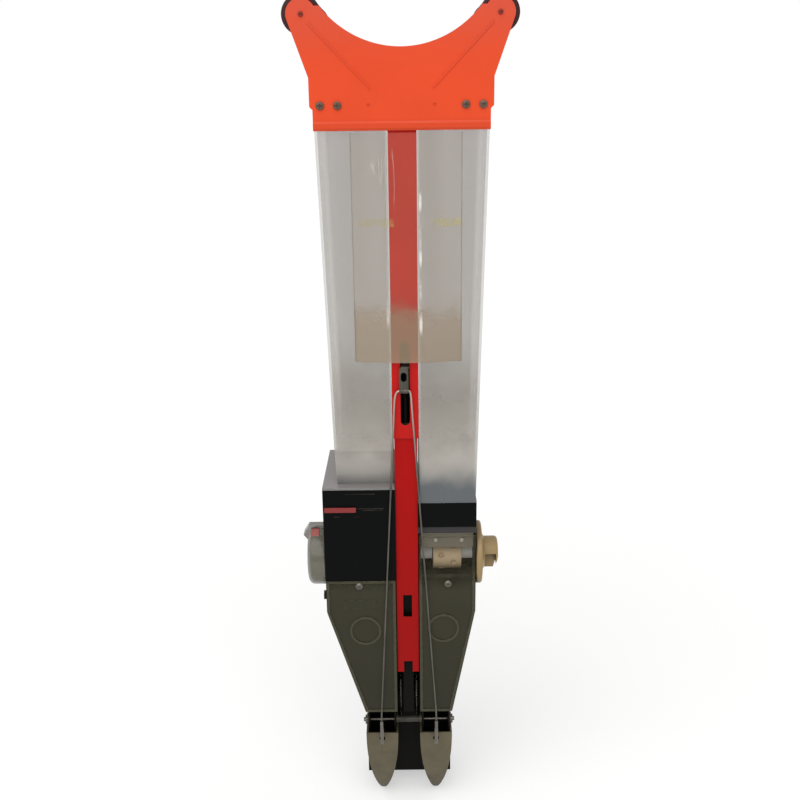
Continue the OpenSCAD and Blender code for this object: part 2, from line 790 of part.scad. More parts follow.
module lower_guide() {
    x1 = spine_w / 2;
    color([0.07, 0.07, 0.08]) difference() {
        guide(rod_back + 6, guide_low);
        block(-rod_w / 2 - fit, rod_w / 2 + fit, rod_front - fit, rod_back + fit,
            guide_low - 1, guide_low + guide_t + 1);
        for (s = [0, 1]) mirror([s, 0, 0])
            rod_x(x1 - spine_t - 3.3, x1, rod_y, guide_low_mid, rivet_d + 2 * bore_fit);
    }
}

module upper_guide() {
    x1 = spine_w / 2;
    color([0.07, 0.07, 0.08]) difference() {
        guide(tube_back - spine_t - fit, guide_high);
        rod_z(guide_high - 1, guide_high + guide_t + 1, 0, rod_y, rod_top_d + 2 * fit);
        for (s = [0, 1]) mirror([s, 0, 0])
            rod_x(x1 - spine_t - 3.3, x1, rivet_y, guide_high_mid, rivet_d + 2 * bore_fit);
    }
}

// Housings, chutes and covers

bolt_zs = [chute_h + 68, taper_z + 2];
bolt_y = tube_back - 11;
seed_screw = [box_x + 33.4, taper_z + 36];
fert_screw = [box_x + 42, panel_z - fert_screw_drop];
holder_rivet_z = chute_h + 7;

module housing(box_end, z0, screw) {
    difference() {
        union() {
            difference() {
                intersection() {
                    slab_y(cover_back, half) polygon([
                        [box_x, chute_h], [box_x + chute_w, chute_h], [box_end, taper_z],
                        [box_end, z0], [box_x, z0]]);
                    slab_x(box_x, box_end) polygon([
                        [cover_back, chute_h], [chute_back, chute_h], [chute_back, chute_h + chute_neck],
                        [half, taper_z], [half, z0], [cover_back, z0]]);
                }
                intersection() {
                    slab_y(cover_back - 1, half) polygon([
                        [box_x + wall, chute_h - 1], [box_x + chute_w - wall, chute_h - 1],
                        [box_x + chute_w - wall, chute_h], [box_end - wall, taper_z],
                        [box_end - wall, z0 + 1], [box_x + wall, z0 + 1]]);
                    slab_x(box_x, box_end) polygon([
                        [cover_back - 1, chute_h - 1], [chute_back - wall, chute_h - 1],
                        [chute_back - wall, chute_h + chute_neck], [half - wall, taper_z],
                        [half - wall, z0 + 1], [cover_back - 1, z0 + 1]]);
                }
            }
            block(box_x, box_end, cover_back, cover_back + 9, screw[1] - 6, screw[1] + 6);
            rod_x(box_x - 5.6, box_x + 1, post_y, post_z, post_d);
            block(box_x - lip_in, box_x + 1, rear_back - 1.3, rear_back + 0.2, chute_h, spine_low - 3);
        }
        rod_along_y(cover_back - 1, cover_back + 7, screw[0], screw[1], cover_screw_d + 2 * bore_fit);
        rod_x(box_x - 1, box_end + 1, shaft_y, shaft_h, bush_d + 2 * bore_fit);
        for (e = [-1, 1])
            rod_along_y(chute_back - wall - 1, chute_back + 1, chute_mid + e * 8, holder_rivet_z,
                rivet_d + 2 * screw_fit);
        for (z = bolt_zs) rod_x(box_x - 1, box_x + wall + 1, bolt_y, z, bolt_d + 2 * screw_fit);
    }
}

module left_housing() {
    color([0.07, 0.075, 0.08]) difference() {
        side(-1) housing(fert_x, fert_top_z, fert_screw);
        rod_x(-fert_x - 1, -fert_x + wall + 1, bolt_y, bolt_zs[1], bolt_d + 2 * screw_fit);
    }
}

module right_housing() {
    color([0.07, 0.075, 0.08]) {
        housing(seed_x, seed_top_z, seed_screw);
        block(box_x, seed_x, -half, front_wall_y, strip_low, seed_top_z);
        block(box_x, seed_x, -half + 1.5, front_wall_y, strip_low - ledge_h, strip_low + 1);
    }
}

module left_panel() {
    color([0.06, 0.065, 0.07]) difference() {
        union() {
            block(-fert_x, -box_x, panel_face, cover_back, panel_z, fert_top_z);
            block(-mark_x - mark_w, -mark_x, panel_face - 0.6, panel_face + 0.5,
                fert_top_z - 2 * mark_h + 0.5, fert_top_z - mark_h + 0.5);
            for (x = [mark_x + mark_w * 0.64, mark_x + mark_w * 1.27])
                block(-x - stud_w / 2, -x + stud_w / 2, panel_face - 0.6, panel_face + 0.5,
                    gate_z - 2 * stud_w - 0.5, gate_z - stud_w - 0.5);
        }
        block(-fert_x + 0.9, -gate_x + gate_w + gate_travel + fit + 0.2, panel_face - 1, cover_back + 1,
            gate_z - fit, gate_z + gate_t + fit);
    }
}

module feed_gate() {
    color([0.75, 0.1, 0.08]) {
        block(-gate_x, -gate_x + gate_w, cover_back + 0.5, gate_back, gate_z, gate_z + gate_t);
        block(-gate_x, -gate_x + gate_w, panel_face - 1, cover_back + 1, gate_z, gate_z + gate_t);
        block(-gate_x - 1, -gate_x + gate_w, panel_face - fit - 2, panel_face - fit,
            gate_z + gate_t / 2 - gate_tab_h / 2, gate_z + gate_t / 2 + gate_tab_h / 2);
    }
}

module cover_shape(box_end, z1, inset) {
    polygon([
        [box_x + inset, chute_h + inset], [box_x + chute_w - inset, chute_h + inset],
        [box_end - inset, taper_z],
        [box_end - inset, z1 - inset], [box_x + inset, z1 - inset]]);
}

module chute_cover(box_end, z1, screw, ring) {
    difference() {
        union() {
            slab_y(-half, cover_back) cover_shape(box_end, z1, 0.8);
            difference() {
                slab_y(-half - rim_out, -half + 0.5) cover_shape(box_end, z1, 0.8);
                slab_y(-half - rim_out - 1, -half + 1) cover_shape(box_end, z1, 0.8 + rim_w);
            }
            difference() {
                rod_along_y(-half - rim_out, -half + 0.5, ring[0], ring[1], ring_d);
                rod_along_y(-half - rim_out - 1, -half + 1, ring[0], ring[1], ring_d - 5);
            }
        }
        rod_along_y(-half - 2, cover_back + 1, screw[0], screw[1], cover_screw_d + 2 * screw_fit);
        rod_along_y(-half - rim_out - 1, -half, screw[0], screw[1], cover_screw_d + 4 + 2 * fit);
    }
}

module left_cover() {
    color([0.26, 0.25, 0.2, 0.7]) side(-1) {
        chute_cover(fert_x, panel_z - 0.5, fert_screw, [box_x + 36, taper_z - 23]);
        block(box_x + 23, box_x + 23 + pad_w, -half - rim_out / 2, -half + 0.5,
            taper_z + 5, taper_z + 5 + pad_h);
    }
}

module right_cover() {
    color([0.26, 0.25, 0.2, 0.7])
        chute_cover(seed_x, strip_low - ledge_h - 0.5, seed_screw, [box_x + 28.3, taper_z - 20.5]);
}

module cover_screw(p) {
    difference() {
        union() {
            rod_along_y(-half - 2.4, -half, p[0], p[1], cover_screw_d + 4);
            rod_along_y(-half - 0.5, cover_back + 6, p[0], p[1], cover_screw_d);
        }
        block(p[0] - 2.6, p[0] + 2.6, -half - 3, -half - 1.3, p[1] - 0.5, p[1] + 0.5);
        block(p[0] - 0.5, p[0] + 0.5, -half - 3, -half - 1.3, p[1] - 2.6, p[1] + 2.6);
    }
}

module cover_screws() {
    color([0.6, 0.6, 0.62]) {
        cover_screw(seed_screw);
        cover_screw([-fert_screw[0], fert_screw[1]]);
    }
}

module housing_bolts() {
    color([0.1, 0.1, 0.11]) {
        hex_x(-fert_x - 6, -fert_x, bolt_y, bolt_zs[1], bolt_d + 6);
        rod_x(-fert_x - 0.5, box_x + wall + 7, bolt_y, bolt_zs[1], bolt_d);
        hex_x(-box_x - wall - 4.5, -box_x - wall, bolt_y, bolt_zs[0], bolt_d + 5);
        rod_x(-box_x - wall - 0.5, box_x + wall + 7, bolt_y, bolt_zs[0], bolt_d);
    }
}

module housing_nuts() {
    color([0.1, 0.1, 0.11]) for (z = bolt_zs) difference() {
        hex_x(box_x + wall, box_x + wall + 5, bolt_y, z, bolt_d + 5);
        rod_x(box_x + wall - 1, box_x + wall + 6, bolt_y, z, bolt_d + 2 * bore_fit);
    }
}

// Funnels over the rollers

module seed_funnel() {
    x0 = box_x + wall + fit;
    x1 = seed_x - wall - fit;
    rx0 = seed_roller_x;
    rx1 = seed_roller_x + seed_roller_l;
    top = seed_top_z - spigot_h - 2;
    color([0.16, 0.17, 0.17]) difference() {
        union() {
            funnel([rx0 - 2, rx1 + 2, throat_y0, throat_y1 + 2], throat_z,
                [x0, x1, front_wall_y + fit, half - wall - fit], top);
            block(x0, x1, front_wall_y + fit, front_wall_y + fit + 2, shaft_h + plate_low, top);
        }
        funnel([rx0, rx1, throat_y0 + 2, throat_y1], throat_z - 0.2,
            [x0 + 2, x1 - 2, front_wall_y + fit + 2, half - wall - fit - 2], top + 0.2);
    }
}

module fert_funnel() {
    x0 = box_x + wall + fit;
    x1 = fert_x - wall - fit;
    rx0 = fert_roller_x;
    rx1 = fert_roller_x + fert_roller_l;
    mx0 = gate_x - gate_w - gate_travel + 2;
    mx1 = gate_x - gate_w - 1;
    y1 = gate_back - 6;
    color([0.16, 0.17, 0.17]) side(-1) {
        difference() {
            union() {
                block(x0, x1, front_wall_y + fit, half - wall - fit, deck_z - 3, deck_z);
                funnel([rx0 - 2, rx1 + 2, throat_y0, throat_y1 + 2], throat_z,
                    [mx0 - 2, mx1 + 2, throat_y0 - 2, y1 + 2], deck_z - 2.5);
            }
            funnel([rx0, rx1, throat_y0 + 2, throat_y1], throat_z - 0.2,
                [mx0, mx1, throat_y0, y1], deck_z - 2);
            block(mx0, mx1, throat_y0, y1, deck_z - 2.2, deck_z + 1);
        }
    }
}

// Metering shaft, rollers, knobs

// A bush in a housing's wall, with a collar up to the roller
module bush(x0, x1, c0, c1) {
    difference() {
        union() {
            rod_x(x0, x1, shaft_y, shaft_h, bush_d);
            rod_x(c0, c1, shaft_y, shaft_h, collar_d);
        }
        rod_x(x0 - 1, x1 + 1, shaft_y, shaft_h, shaft_d + 2 * bore_fit);
    }
}

module shaft_bushes() {
    inner_end = box_x + 16.2;
    seed_end = seed_roller_x + seed_roller_l + 1;
    fert_end = fert_roller_x + fert_roller_l + 1;
    color([0.86, 0.85, 0.8]) {
        bush(box_x + 0.1, inner_end, box_x + wall, inner_end);
        bush(seed_end, seed_x, seed_end, seed_x - wall);
        side(-1) bush(box_x + 0.1, inner_end, box_x + wall, inner_end);
        side(-1) bush(fert_end, fert_x, fert_end, fert_x - wall);
    }
}

module metering_shaft() {
    color([0.62, 0.62, 0.64]) rod_x(-shaft_left, shaft_right, shaft_y, shaft_h, shaft_d);
}

function involute(a) = tan(a) * 180 / PI - a;
base_r = gear_r * cos(pressure);
tooth_a = tooth / 2 / gear_r * 180 / PI;
function flank_a(r) = tooth_a + involute(pressure) - involute(acos(min(1, base_r / r)));
flank_rs = [for (i = [0 : 4]) base_r + (gear_r + addendum - base_r) * i / 4];

module pinion_shape() {
    polygon([for (k = [0 : gear_n - 1]) let (c = 180 + 360 * (k + 0.5) / gear_n) each concat(
        [(gear_r - dedendum) * [cos(c - flank_a(base_r)), sin(c - flank_a(base_r))]],
        [for (r = flank_rs) r * [cos(c - flank_a(r)), sin(c - flank_a(r))]],
        [for (i = [4 : -1 : 0]) let (r = flank_rs[i]) r * [cos(c + flank_a(r)), sin(c + flank_a(r))]],
        [(gear_r - dedendum) * [cos(c + flank_a(base_r)), sin(c + flank_a(base_r))]])]);
}

module drive_pinion() {
    color([0.86, 0.85, 0.8]) difference() {
        union() {
            slab_x(-gear_w / 2, gear_w / 2) translate([shaft_y, shaft_h]) pinion_shape();
            rod_x(-spine_w / 2 + spine_t + 1.2, spine_w / 2 - spine_t - 1.2, shaft_y, shaft_h, shaft_d + 8);
        }
        rod_x(-spine_w, spine_w, shaft_y, shaft_h, shaft_d + 2 * bore_fit);
    }
}

module seed_roller() {
    x0 = seed_roller_x;
    color([0.8, 0.68, 0.48]) difference() {
        rod_x(x0, x0 + seed_roller_l, shaft_y, shaft_h, roller_d);
        rod_x(x0 - 1, x0 + seed_roller_l + 1, shaft_y, shaft_h, shaft_d + 2 * bore_fit);
        for (k = [0 : cells - 1]) for (row = [0.28, 0.72])
            translate([x0 + row * seed_roller_l, shaft_y, shaft_h]) rotate([360 * (k + row) / cells, 0, 0])
                translate([0, 0, roller_d / 2]) sphere(d = cell_d);
    }
}

module fert_roller() {
    x0 = fert_roller_x;
    color([0.8, 0.68, 0.48]) side(-1) difference() {
        rod_x(x0, x0 + fert_roller_l, shaft_y, shaft_h, roller_d);
        rod_x(x0 - 1, x0 + fert_roller_l + 1, shaft_y, shaft_h, shaft_d + 2 * bore_fit);
        for (k = [0 : cells - 1]) translate([0, shaft_y, shaft_h]) rotate([360 * k / cells, 0, 0])
            rod_x(x0 + 3, x0 + fert_roller_l - 3, 0, roller_d / 2, cell_d);
    }
}

// A turned piece on the shaft's axis, from points of radius and distance from the centre plane
module turned(p) {
    translate([0, shaft_y, shaft_h]) rotate([0, 90, 0]) rotate_extrude($fn = 96) polygon(p);
}

module seed_knob() {
    r = knob_d / 2;
    h = hub_d / 2;
    color([0.72, 0.6, 0.36]) difference() {
        turned([
            [shaft_d / 2 + bore_fit, knob_x], [r - 1, knob_x], [r, knob_x + 1.2], [r, knob_x + 5.6],
            [r - 1.2, knob_x + 7], [r - 3.4, knob_x + 7], [r - 6, knob_x + 5.8],
            [h + 5, knob_x + 7.6], [h, knob_x + 10.5], [h, knob_x + knob_l - 3],
            [h - 1, knob_x + knob_l - 0.9], [h - 3, knob_x + knob_l], [0, knob_x + knob_l],
            [0, shaft_right + 0.3], [shaft_d / 2 + bore_fit, shaft_right + 0.3]]);
        translate([0, shaft_y, shaft_h]) {
            slab_y(-h - 1, -shaft_d / 2 - 1) polygon([
                [knob_x + 11, 4.5], [knob_x + knob_l - 2.5, 4.5],
                [knob_x + knob_l - 2.5, -h - 4], [knob_x + 11, -h - 4]]);
            slab_y(-h - 1, h + 1) polygon([
                [knob_x + knob_l + 1, 4], [knob_x + knob_l + 1, -h - 4], [knob_x + knob_l - 6, -h - 4]]);
        }
    }
}

tab_r = dial_d / 2 + 1;
tab_half = 8;

module tab_shape() {
    polygon([
        [dial_x + 0.2, tab_r], [dial_x + dial_l - 0.5, tab_r], [dial_x + dial_l + 5.3, tab_r - 9],
        [dial_x + dial_l - 1, tab_r - 17], [dial_x + 0.2, tab_r - 17]]);
}

// A block let into the dial's rim, grown on its four sides, between two distances from the axis
module let_in(grow, r0, r1) {
    translate([0, shaft_y, shaft_h]) rotate([insert_tilt, 0, 0])
        block(dial_x + insert_in - grow, dial_x + insert_in + insert_w + grow,
            -insert_l / 2 - grow, insert_l / 2 + grow, r0, r1);
}

module fert_dial() {
    r = dial_d / 2;
    f = 7;
    color([0.5, 0.5, 0.5, 0.75]) side(-1) difference() {
        union() {
            difference() {
                turned(concat(
                    [[shaft_d / 2 + bore_fit, dial_x], [r, dial_x]],
                    [for (i = [0 : 6]) [r - f + f * cos(15 * i), dial_x + dial_l - f + f * sin(15 * i)]],
                    [[0, dial_x + dial_l], [0, shaft_left + 0.3],
                     [shaft_d / 2 + bore_fit, shaft_left + 0.3]]));
                turned([[9, dial_x - 1], [r - 3, dial_x - 1], [r - 3, dial_x + dial_l - 7],
                    [r - 6, dial_x + dial_l - 3], [9, dial_x + dial_l - 3]]);
            }
            translate([0, shaft_y, shaft_h]) slab_y(-tab_half, tab_half) tab_shape();
            let_in(1.4, r - 7, r - 2);
        }
        let_in(0, r - 5, r + 3);
    }
}

module dial_pointer() {
    color([0.75, 0.14, 0.16]) side(-1) let_in(-fit, dial_d / 2 - 5 + fit, dial_d / 2 - 1.1);
}

// Duckbills

module bill_shape(w, z0, z1) {
    n = 16;
    half_w = [for (i = [0 : n]) max(2, w * (1 - pow(i / n, 2.25)))];
    polygon(concat(
        [for (i = [0 : n]) [half_w[i], z1 - (z1 - z0) * i / n]],
        [for (i = [n : -1 : 0]) [-half_w[i], z1 - (z1 - z0) * i / n]]));
}

module duckbill_holder() {
    translate([chute_mid, 0, 0]) difference() {
        union() {
            slab_y(rear_front, rear_back) {
                bill_shape(holder_half, 1, jaw_top);
                translate([-holder_half, jaw_top - 1]) square([2 * holder_half, holder_top - jaw_top + 1]);
            }
            for (e = [0, 1]) mirror([e, 0, 0]) slab_x(holder_half - holder_t, holder_half) polygon([
                [rear_back, pivot_h - 12], [rear_back, holder_top], [holder_front, holder_top],
                [holder_front, pivot_h - 4], [holder_front + 6, pivot_h - 12]]);
            block(box_x - lip_in - chute_mid, -holder_half + 1, rear_back - 1.3, rear_back,
                foot_top - 4, chute_h - fit);
        }
        rod_x(-holder_half - 1, holder_half + 1, pivot_y, pivot_h, pivot_d + 2 * bore_fit);
        for (e = [-1, 1])
            rod_along_y(rear_front - 1, rear_back + 1, e * 8, holder_rivet_z, rivet_d + 2 * bore_fit);
    }
}

module left_holder() { color([0.1, 0.1, 0.1]) side(-1) duckbill_holder(); }
module right_holder() { color([0.1, 0.1, 0.1]) duckbill_holder(); }

module holder_rivets() {
    color([0.1, 0.1, 0.1]) for (s = [-1, 1]) for (e = [-1, 1]) {
        rod_along_y(chute_back, chute_back + 1.6, s * (chute_mid + e * 8), holder_rivet_z, rivet_d + 3);
        rod_along_y(rear_front - 0.6, chute_back + 0.5, s * (chute_mid + e * 8), holder_rivet_z, rivet_d);
    }
}

module hinge_rod() {
    x1 = chute_mid + jaw_half + 4;
    color([0.6, 0.6, 0.62]) rod_x(-x1, x1, pivot_y, pivot_h, pivot_d);
}

module rod_spacer() {
    x1 = chute_mid - jaw_half - jaw_gap;
    color([0.1, 0.1, 0.1]) difference() {
        rod_x(-x1, x1, pivot_y, pivot_h, spacer_d);
        rod_x(-x1 - 1, x1 + 1, pivot_y, pivot_h, pivot_d + 2 * bore_fit);
    }
}

module rod_clips() {
    x0 = chute_mid + jaw_half + jaw_gap;
    color([0.6, 0.6, 0.62]) for (s = [-1, 1]) side(s) difference() {
        rod_x(x0, x0 + 1.5, pivot_y, pivot_h, pivot_d + 6);
        rod_x(x0 - 1, x0 + 3, pivot_y, pivot_h, pivot_d + 2 * bore_fit);
    }
}

function scoop(o) = let (a = jaw_back - jaw_front - o - 1.5, b = jaw_top - 2 * o)
    [for (i = [0 : 14]) [jaw_back - 1.5 - a * cos(90 * i / 14), jaw_top - b * sin(90 * i / 14)]];

module jaw() {
    translate([chute_mid, 0, 0]) difference() {
        union() {
            difference() {
                intersection() {
                    slab_y(jaw_front, jaw_back) bill_shape(jaw_half, 0, jaw_top);
                    slab_x(-jaw_half, jaw_half) polygon(concat(
                        scoop(0), [[jaw_back, 0], [jaw_back, jaw_top]]));
                }
                intersection() {
                    slab_y(jaw_front, jaw_back + 1) {
                        bill_shape(jaw_half - jaw_t, 2 * jaw_t, jaw_top);
                        translate([-jaw_half + jaw_t, jaw_top - 0.1]) square([2 * (jaw_half - jaw_t), 2]);
                    }
                    slab_x(-jaw_half, jaw_half) polygon(concat(
                        [[jaw_front + jaw_t, jaw_top + 1]], scoop(jaw_t),
                        [[jaw_back + 1, 2 * jaw_t], [jaw_back + 1, jaw_top + 1]]));
                }
            }
            for (e = [0, 1]) mirror([e, 0, 0]) rod_x(jaw_half - jaw_t, jaw_half, pivot_y, pivot_h, ear_d);
            rod_x(-jaw_half - 5.6, -jaw_half + 1, stub_y, stub_z, post_d);
        }
        rod_x(-jaw_half - 1, jaw_half + 1, pivot_y, pivot_h, pivot_d + 2 * bore_fit);
        rod_along_y(jaw_front - 1, jaw_front + jaw_t + 2, 0, hook_z, hook_d + 4.2);
    }
}

module left_jaw() { color([0.38, 0.35, 0.28]) side(-1) jaw(); }
module right_jaw() { color([0.38, 0.35, 0.28]) jaw(); }

// A jaw spring hangs from the housing's post and loops round the jaw's stub
jaw_spring_path = concat(
    [for (i = [0 : 9]) let (a = -200 + 290 * i / 9)
        [0, loop_r * cos(a), stub_z - post_z + loop_r * sin(a)]],
    [[0, 0, coil_low - post_z - 3.5], [0, coil_r * 0.5, coil_low - post_z - 1.6]],
    [for (i = [0 : 8 * jaw_curls]) [
        coil_r * sin(45 * i), coil_r * cos(45 * i), coil_low - post_z + coil_pitch * i / 8]],
    [[0, coil_r * 0.5, coil_top - post_z + 1.6]],
    [for (i = [0 : 9]) let (a = 270 - 290 * i / 9) [0, loop_r * cos(a), loop_r * sin(a)]]);

module jaw_spring() {
    translate([spring_x, stub_y, post_z]) tube(jaw_spring_path, jaw_wire_d, [1, 0, 0]);
}

module left_jaw_spring() { color([0.66, 0.66, 0.66]) side(-1) jaw_spring(); }
module right_jaw_spring() { color([0.66, 0.66, 0.66]) jaw_spring(); }

// Plunger: push rod, foot plate, lug, pull wire and links

module rack_shape() {
    tip_w = tooth / 2 - addendum * tan(pressure);
    root_w = tooth / 2 + dedendum * tan(pressure);
    for (k = [-7 : 4]) translate([rack_y, shaft_h + k * pitch]) polygon([
        [-dedendum - 0.5, -root_w], [-dedendum, -root_w], [addendum, -tip_w],
        [addendum, tip_w], [-dedendum, root_w], [-dedendum - 0.5, root_w]]);
}

module push_rod() {
    color([0.08, 0.08, 0.085]) difference() {
        union() {
            block(-rod_w / 2, rod_w / 2, rod_front, rod_back, arm_low, shoulder_h);
            slab_x(-gear_w / 2, gear_w / 2) rack_shape();
            block(-rod_w / 2, rod_w / 2, rod_front, foot_face, arm_low, arm_high);
            rod_z(shoulder_h - 1, shoulder_h + 2.8, 0, rod_y, 2 * return_r + return_wire_d + 1);
            rod_z(shoulder_h - 1, lug_top - lug_t, 0, rod_y, rod_top_d);
            rod_z(lug_top - lug_t - 1, lug_top + 8, 0, rod_y, stud_d);
        }
        for (z = [5, 13]) rod_along_y(foot_face - 12, foot_face + 1, 0, arm_low + z, 4 + 2 * bore_fit);
    }
}

module foot_plate() {
    w = foot_w / 2;
    r = 6;
    color([0.07, 0.07, 0.075]) difference() {
        union() {
            slab_y(foot_face, foot_face + foot_t) {
                translate([-w, foot_lift]) square([foot_w, foot_h - r]);
                translate([-w + r, foot_lift]) square([foot_w - 2 * r, foot_h]);
                for (s = [-1, 1]) translate([s * (w - r), foot_top - r]) circle(r);
                translate([-tongue_x, foot_top - 1]) square([2 * tongue_x, tongue_top - foot_top + 1]);
            }
            translate([0, 0, foot_lift]) linear_extrude(foot_t) {
                translate([-w, foot_face]) square([foot_w, sole_l - r]);
                translate([-w + r, foot_face]) square([foot_w - 2 * r, sole_l]);
                for (s = [-1, 1]) translate([s * (w - r), foot_face + sole_l - r]) circle(r);
            }
            for (x = [-w + 12, 0, w - 12]) slab_x(x - 1.5, x + 1.5) polygon([
                [foot_face + foot_t - 0.5, foot_lift + foot_t - 0.5],
                [foot_face + sole_l - 10, foot_lift + foot_t - 0.5],
                [foot_face + foot_t - 0.5, foot_lift + 50]]);
        }
        for (z = [5, 13])
            rod_along_y(foot_face - 1, foot_face + foot_t + 1, 0, arm_low + z, 4 + 2 * screw_fit);
    }
}

module foot_screws() {
    color([0.6, 0.6, 0.62]) for (z = [5, 13]) {
        rod_along_y(foot_face + foot_t, foot_face + foot_t + 2.5, 0, arm_low + z, 7.4);
        rod_along_y(foot_face - 11, foot_face + foot_t + 0.5, 0, arm_low + z, 4);
    }
}

return_path = concat(
    [[return_r, 0, 0], [return_r, 0, return_wire_d]],
    [for (i = [0 : 8 * return_curls]) [return_r * cos(45 * i), return_r * sin(45 * i),
        2 * return_wire_d + (guide_high - spring_low - 4.2 * return_wire_d) * i / (8 * return_curls)]],
    [[return_r, 0, guide_high - spring_low - 1.2 * return_wire_d],
     [return_r, 0, guide_high - spring_low - 0.15]]);

module return_spring() {
    color([0.66, 0.66, 0.66]) translate([0, rod_y, spring_low]) tube(return_path, return_wire_d, [1, 0, 0]);
}

module wire_lug() {
    w = lug_w / 2;
    color([0.6, 0.6, 0.6]) difference() {
        union() {
            block(tab_x0, tab_x1, wire_y - lug_t / 2, wire_y + lug_t / 2, eye_z, lug_top - tab_w / 2);
            translate([-tab_off, 0, 0]) slab_y(wire_y - lug_t / 2, wire_y + lug_t / 2) intersection() {
                translate([0, lug_top - tab_w / 2]) circle(tab_w / 2);
                translate([-tab_w, lug_top - tab_w / 2 - 1]) square([2 * tab_w, tab_w]);
            }
            block(-w, w, wire_y - lug_t / 2, rod_y + 5, lug_top - lug_t, lug_top);
            rod_x(tab_x0, tab_x1, wire_y, eye_z, wire_d + 3.6);
        }
        translate([-tab_off, 0, 0]) slab_y(wire_y - 2, wire_y + 2)
            slot_shape(tab_w * 0.64, lug_top - tab_w * 1.66, lug_top - tab_w * 0.64);
        rod_x(tab_x0 - 1, tab_x1 + 1, wire_y, eye_z, wire_d + 2 * bore_fit);
        rod_z(lug_top - lug_t - 1, lug_top + 1, 0, rod_y, stud_d + 2 * bore_fit);
    }
}

module lug_nut() {
    color([0.6, 0.6, 0.62]) difference() {
        translate([0, rod_y, lug_top]) cylinder(h = 5, d = stud_d + 5.5, $fn = 6);
        rod_z(lug_top - 1, lug_top + 6, 0, rod_y, stud_d + 2 * bore_fit);
    }
}

// The pull wire runs through the lug's eye, bends down at both sides and ends in the links
function curve(a, b, c, d, t) =
    pow(1 - t, 3) * a + 3 * t * pow(1 - t, 2) * b + 3 * t * t * (1 - t) * c + pow(t, 3) * d;
function wire_arm(x0, out) = concat(
    [for (i = [0 : 8]) curve(
        [x0 + 0.4, eye_z], [x0 + out * 0.7, eye_z],
        [x0 + out, eye_z - 5], [x0 + out * 1.1, eye_z - 14], i / 8)],
    [[chute_mid - 0.4, link_top + 20], [chute_mid, link_top + 8], [chute_mid, link_top + 5 - ferrule_l]]);
left_arm = wire_arm(-tab_x0, 4.9);
right_arm = wire_arm(tab_x1, 2.7);
wire_path = concat(
    [for (i = [len(left_arm) - 1 : -1 : 0]) [-left_arm[i][0], wire_y, left_arm[i][1]]],
    [for (q = right_arm) [q[0], wire_y, q[1]]]);

module pull_wire() {
    color([0.72, 0.72, 0.7]) tube(wire_path, wire_d, [0, 1, 0], 12);
}

module pull_link() {
    difference() {
        union() {
            rod_z(link_top + 2 - ferrule_l, link_top + 2, chute_mid, wire_y, wire_d + 1.8);
            block(chute_mid - link_w / 2, chute_mid + link_w / 2, wire_y - 1, wire_y + 1,
                hook_z - hook_d / 2, link_top + 4 - ferrule_l);
            rod_along_y(wire_y - 0.5, hook_y + 5, chute_mid, hook_z, hook_d);
        }
        rod_z(link_top + 4.7 - ferrule_l, link_top + 3, chute_mid, wire_y, wire_d + 2 * bore_fit);
    }
}

module pull_links() {
    color([0.66, 0.66, 0.64]) for (s = [-1, 1]) side(s) pull_link();
}

echo(least_self_gap_jaw_spring = self_gap(jaw_spring_path, jaw_wire_d, 6));
echo(least_self_gap_return_spring = self_gap(return_path, return_wire_d, 6));

yoke_front();
yoke_rear();
left_handle_bar();
right_handle_bar();
left_grip();
right_grip();
handle_screws();
yoke_screws();
yoke_nuts();
left_hopper();
right_hopper();
left_lid();
right_lid();
lid_bridge();
lid_pins();
bridge_screws();
label_film();
spine_sleeve();
spine_tube();
spine_screws();
spine_rivets();
lower_guide();
upper_guide();
left_housing();
right_housing();
left_panel();
feed_gate();
left_cover();
right_cover();
cover_screws();
housing_bolts();
housing_nuts();
seed_funnel();
fert_funnel();
shaft_bushes();
metering_shaft();
drive_pinion();
seed_roller();
fert_roller();
seed_knob();
fert_dial();
dial_pointer();
left_holder();
right_holder();
holder_rivets();
hinge_rod();
rod_spacer();
rod_clips();
left_jaw();
right_jaw();
left_jaw_spring();
right_jaw_spring();
push_rod();
foot_plate();
foot_screws();
return_spring();
wire_lug();
lug_nut();
pull_wire();
pull_links();
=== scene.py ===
"""Looks of a twin-hopper hand seed planter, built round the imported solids."""

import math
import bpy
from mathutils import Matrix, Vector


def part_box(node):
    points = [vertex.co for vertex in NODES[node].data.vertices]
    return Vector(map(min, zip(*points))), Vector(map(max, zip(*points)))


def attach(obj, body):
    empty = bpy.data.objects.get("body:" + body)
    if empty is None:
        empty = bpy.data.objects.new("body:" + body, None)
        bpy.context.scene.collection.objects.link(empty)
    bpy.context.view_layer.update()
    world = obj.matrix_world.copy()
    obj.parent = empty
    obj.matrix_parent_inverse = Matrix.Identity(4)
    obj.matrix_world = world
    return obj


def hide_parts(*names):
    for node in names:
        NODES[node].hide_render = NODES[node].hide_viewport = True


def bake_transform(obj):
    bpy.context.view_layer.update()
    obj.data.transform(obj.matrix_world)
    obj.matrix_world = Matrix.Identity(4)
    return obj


bl_info = {
    "name": "Hand Seed Planter",
    "version": (1, 0, 0),
    "blender": (4, 5, 0),
    "location": "View3D > Sidebar > Planter",
    "description": "Finishes, wound and soft pieces, and the stage of a hand seed planter",
    "category": "Object",
}

import bmesh
import bpy
from bpy.props import FloatProperty, FloatVectorProperty, IntProperty, PointerProperty
from mathutils import Matrix, Vector, noise

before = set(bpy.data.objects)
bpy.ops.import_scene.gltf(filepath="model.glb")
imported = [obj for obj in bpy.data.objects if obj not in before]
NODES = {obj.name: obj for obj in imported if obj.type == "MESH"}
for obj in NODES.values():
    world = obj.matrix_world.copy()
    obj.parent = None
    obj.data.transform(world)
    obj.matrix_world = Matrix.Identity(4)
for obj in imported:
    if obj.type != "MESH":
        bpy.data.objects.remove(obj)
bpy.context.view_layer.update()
MM = 0.001
FRONT_LIGHT = 1.25  # how strongly the stage lights a face that looks to the front


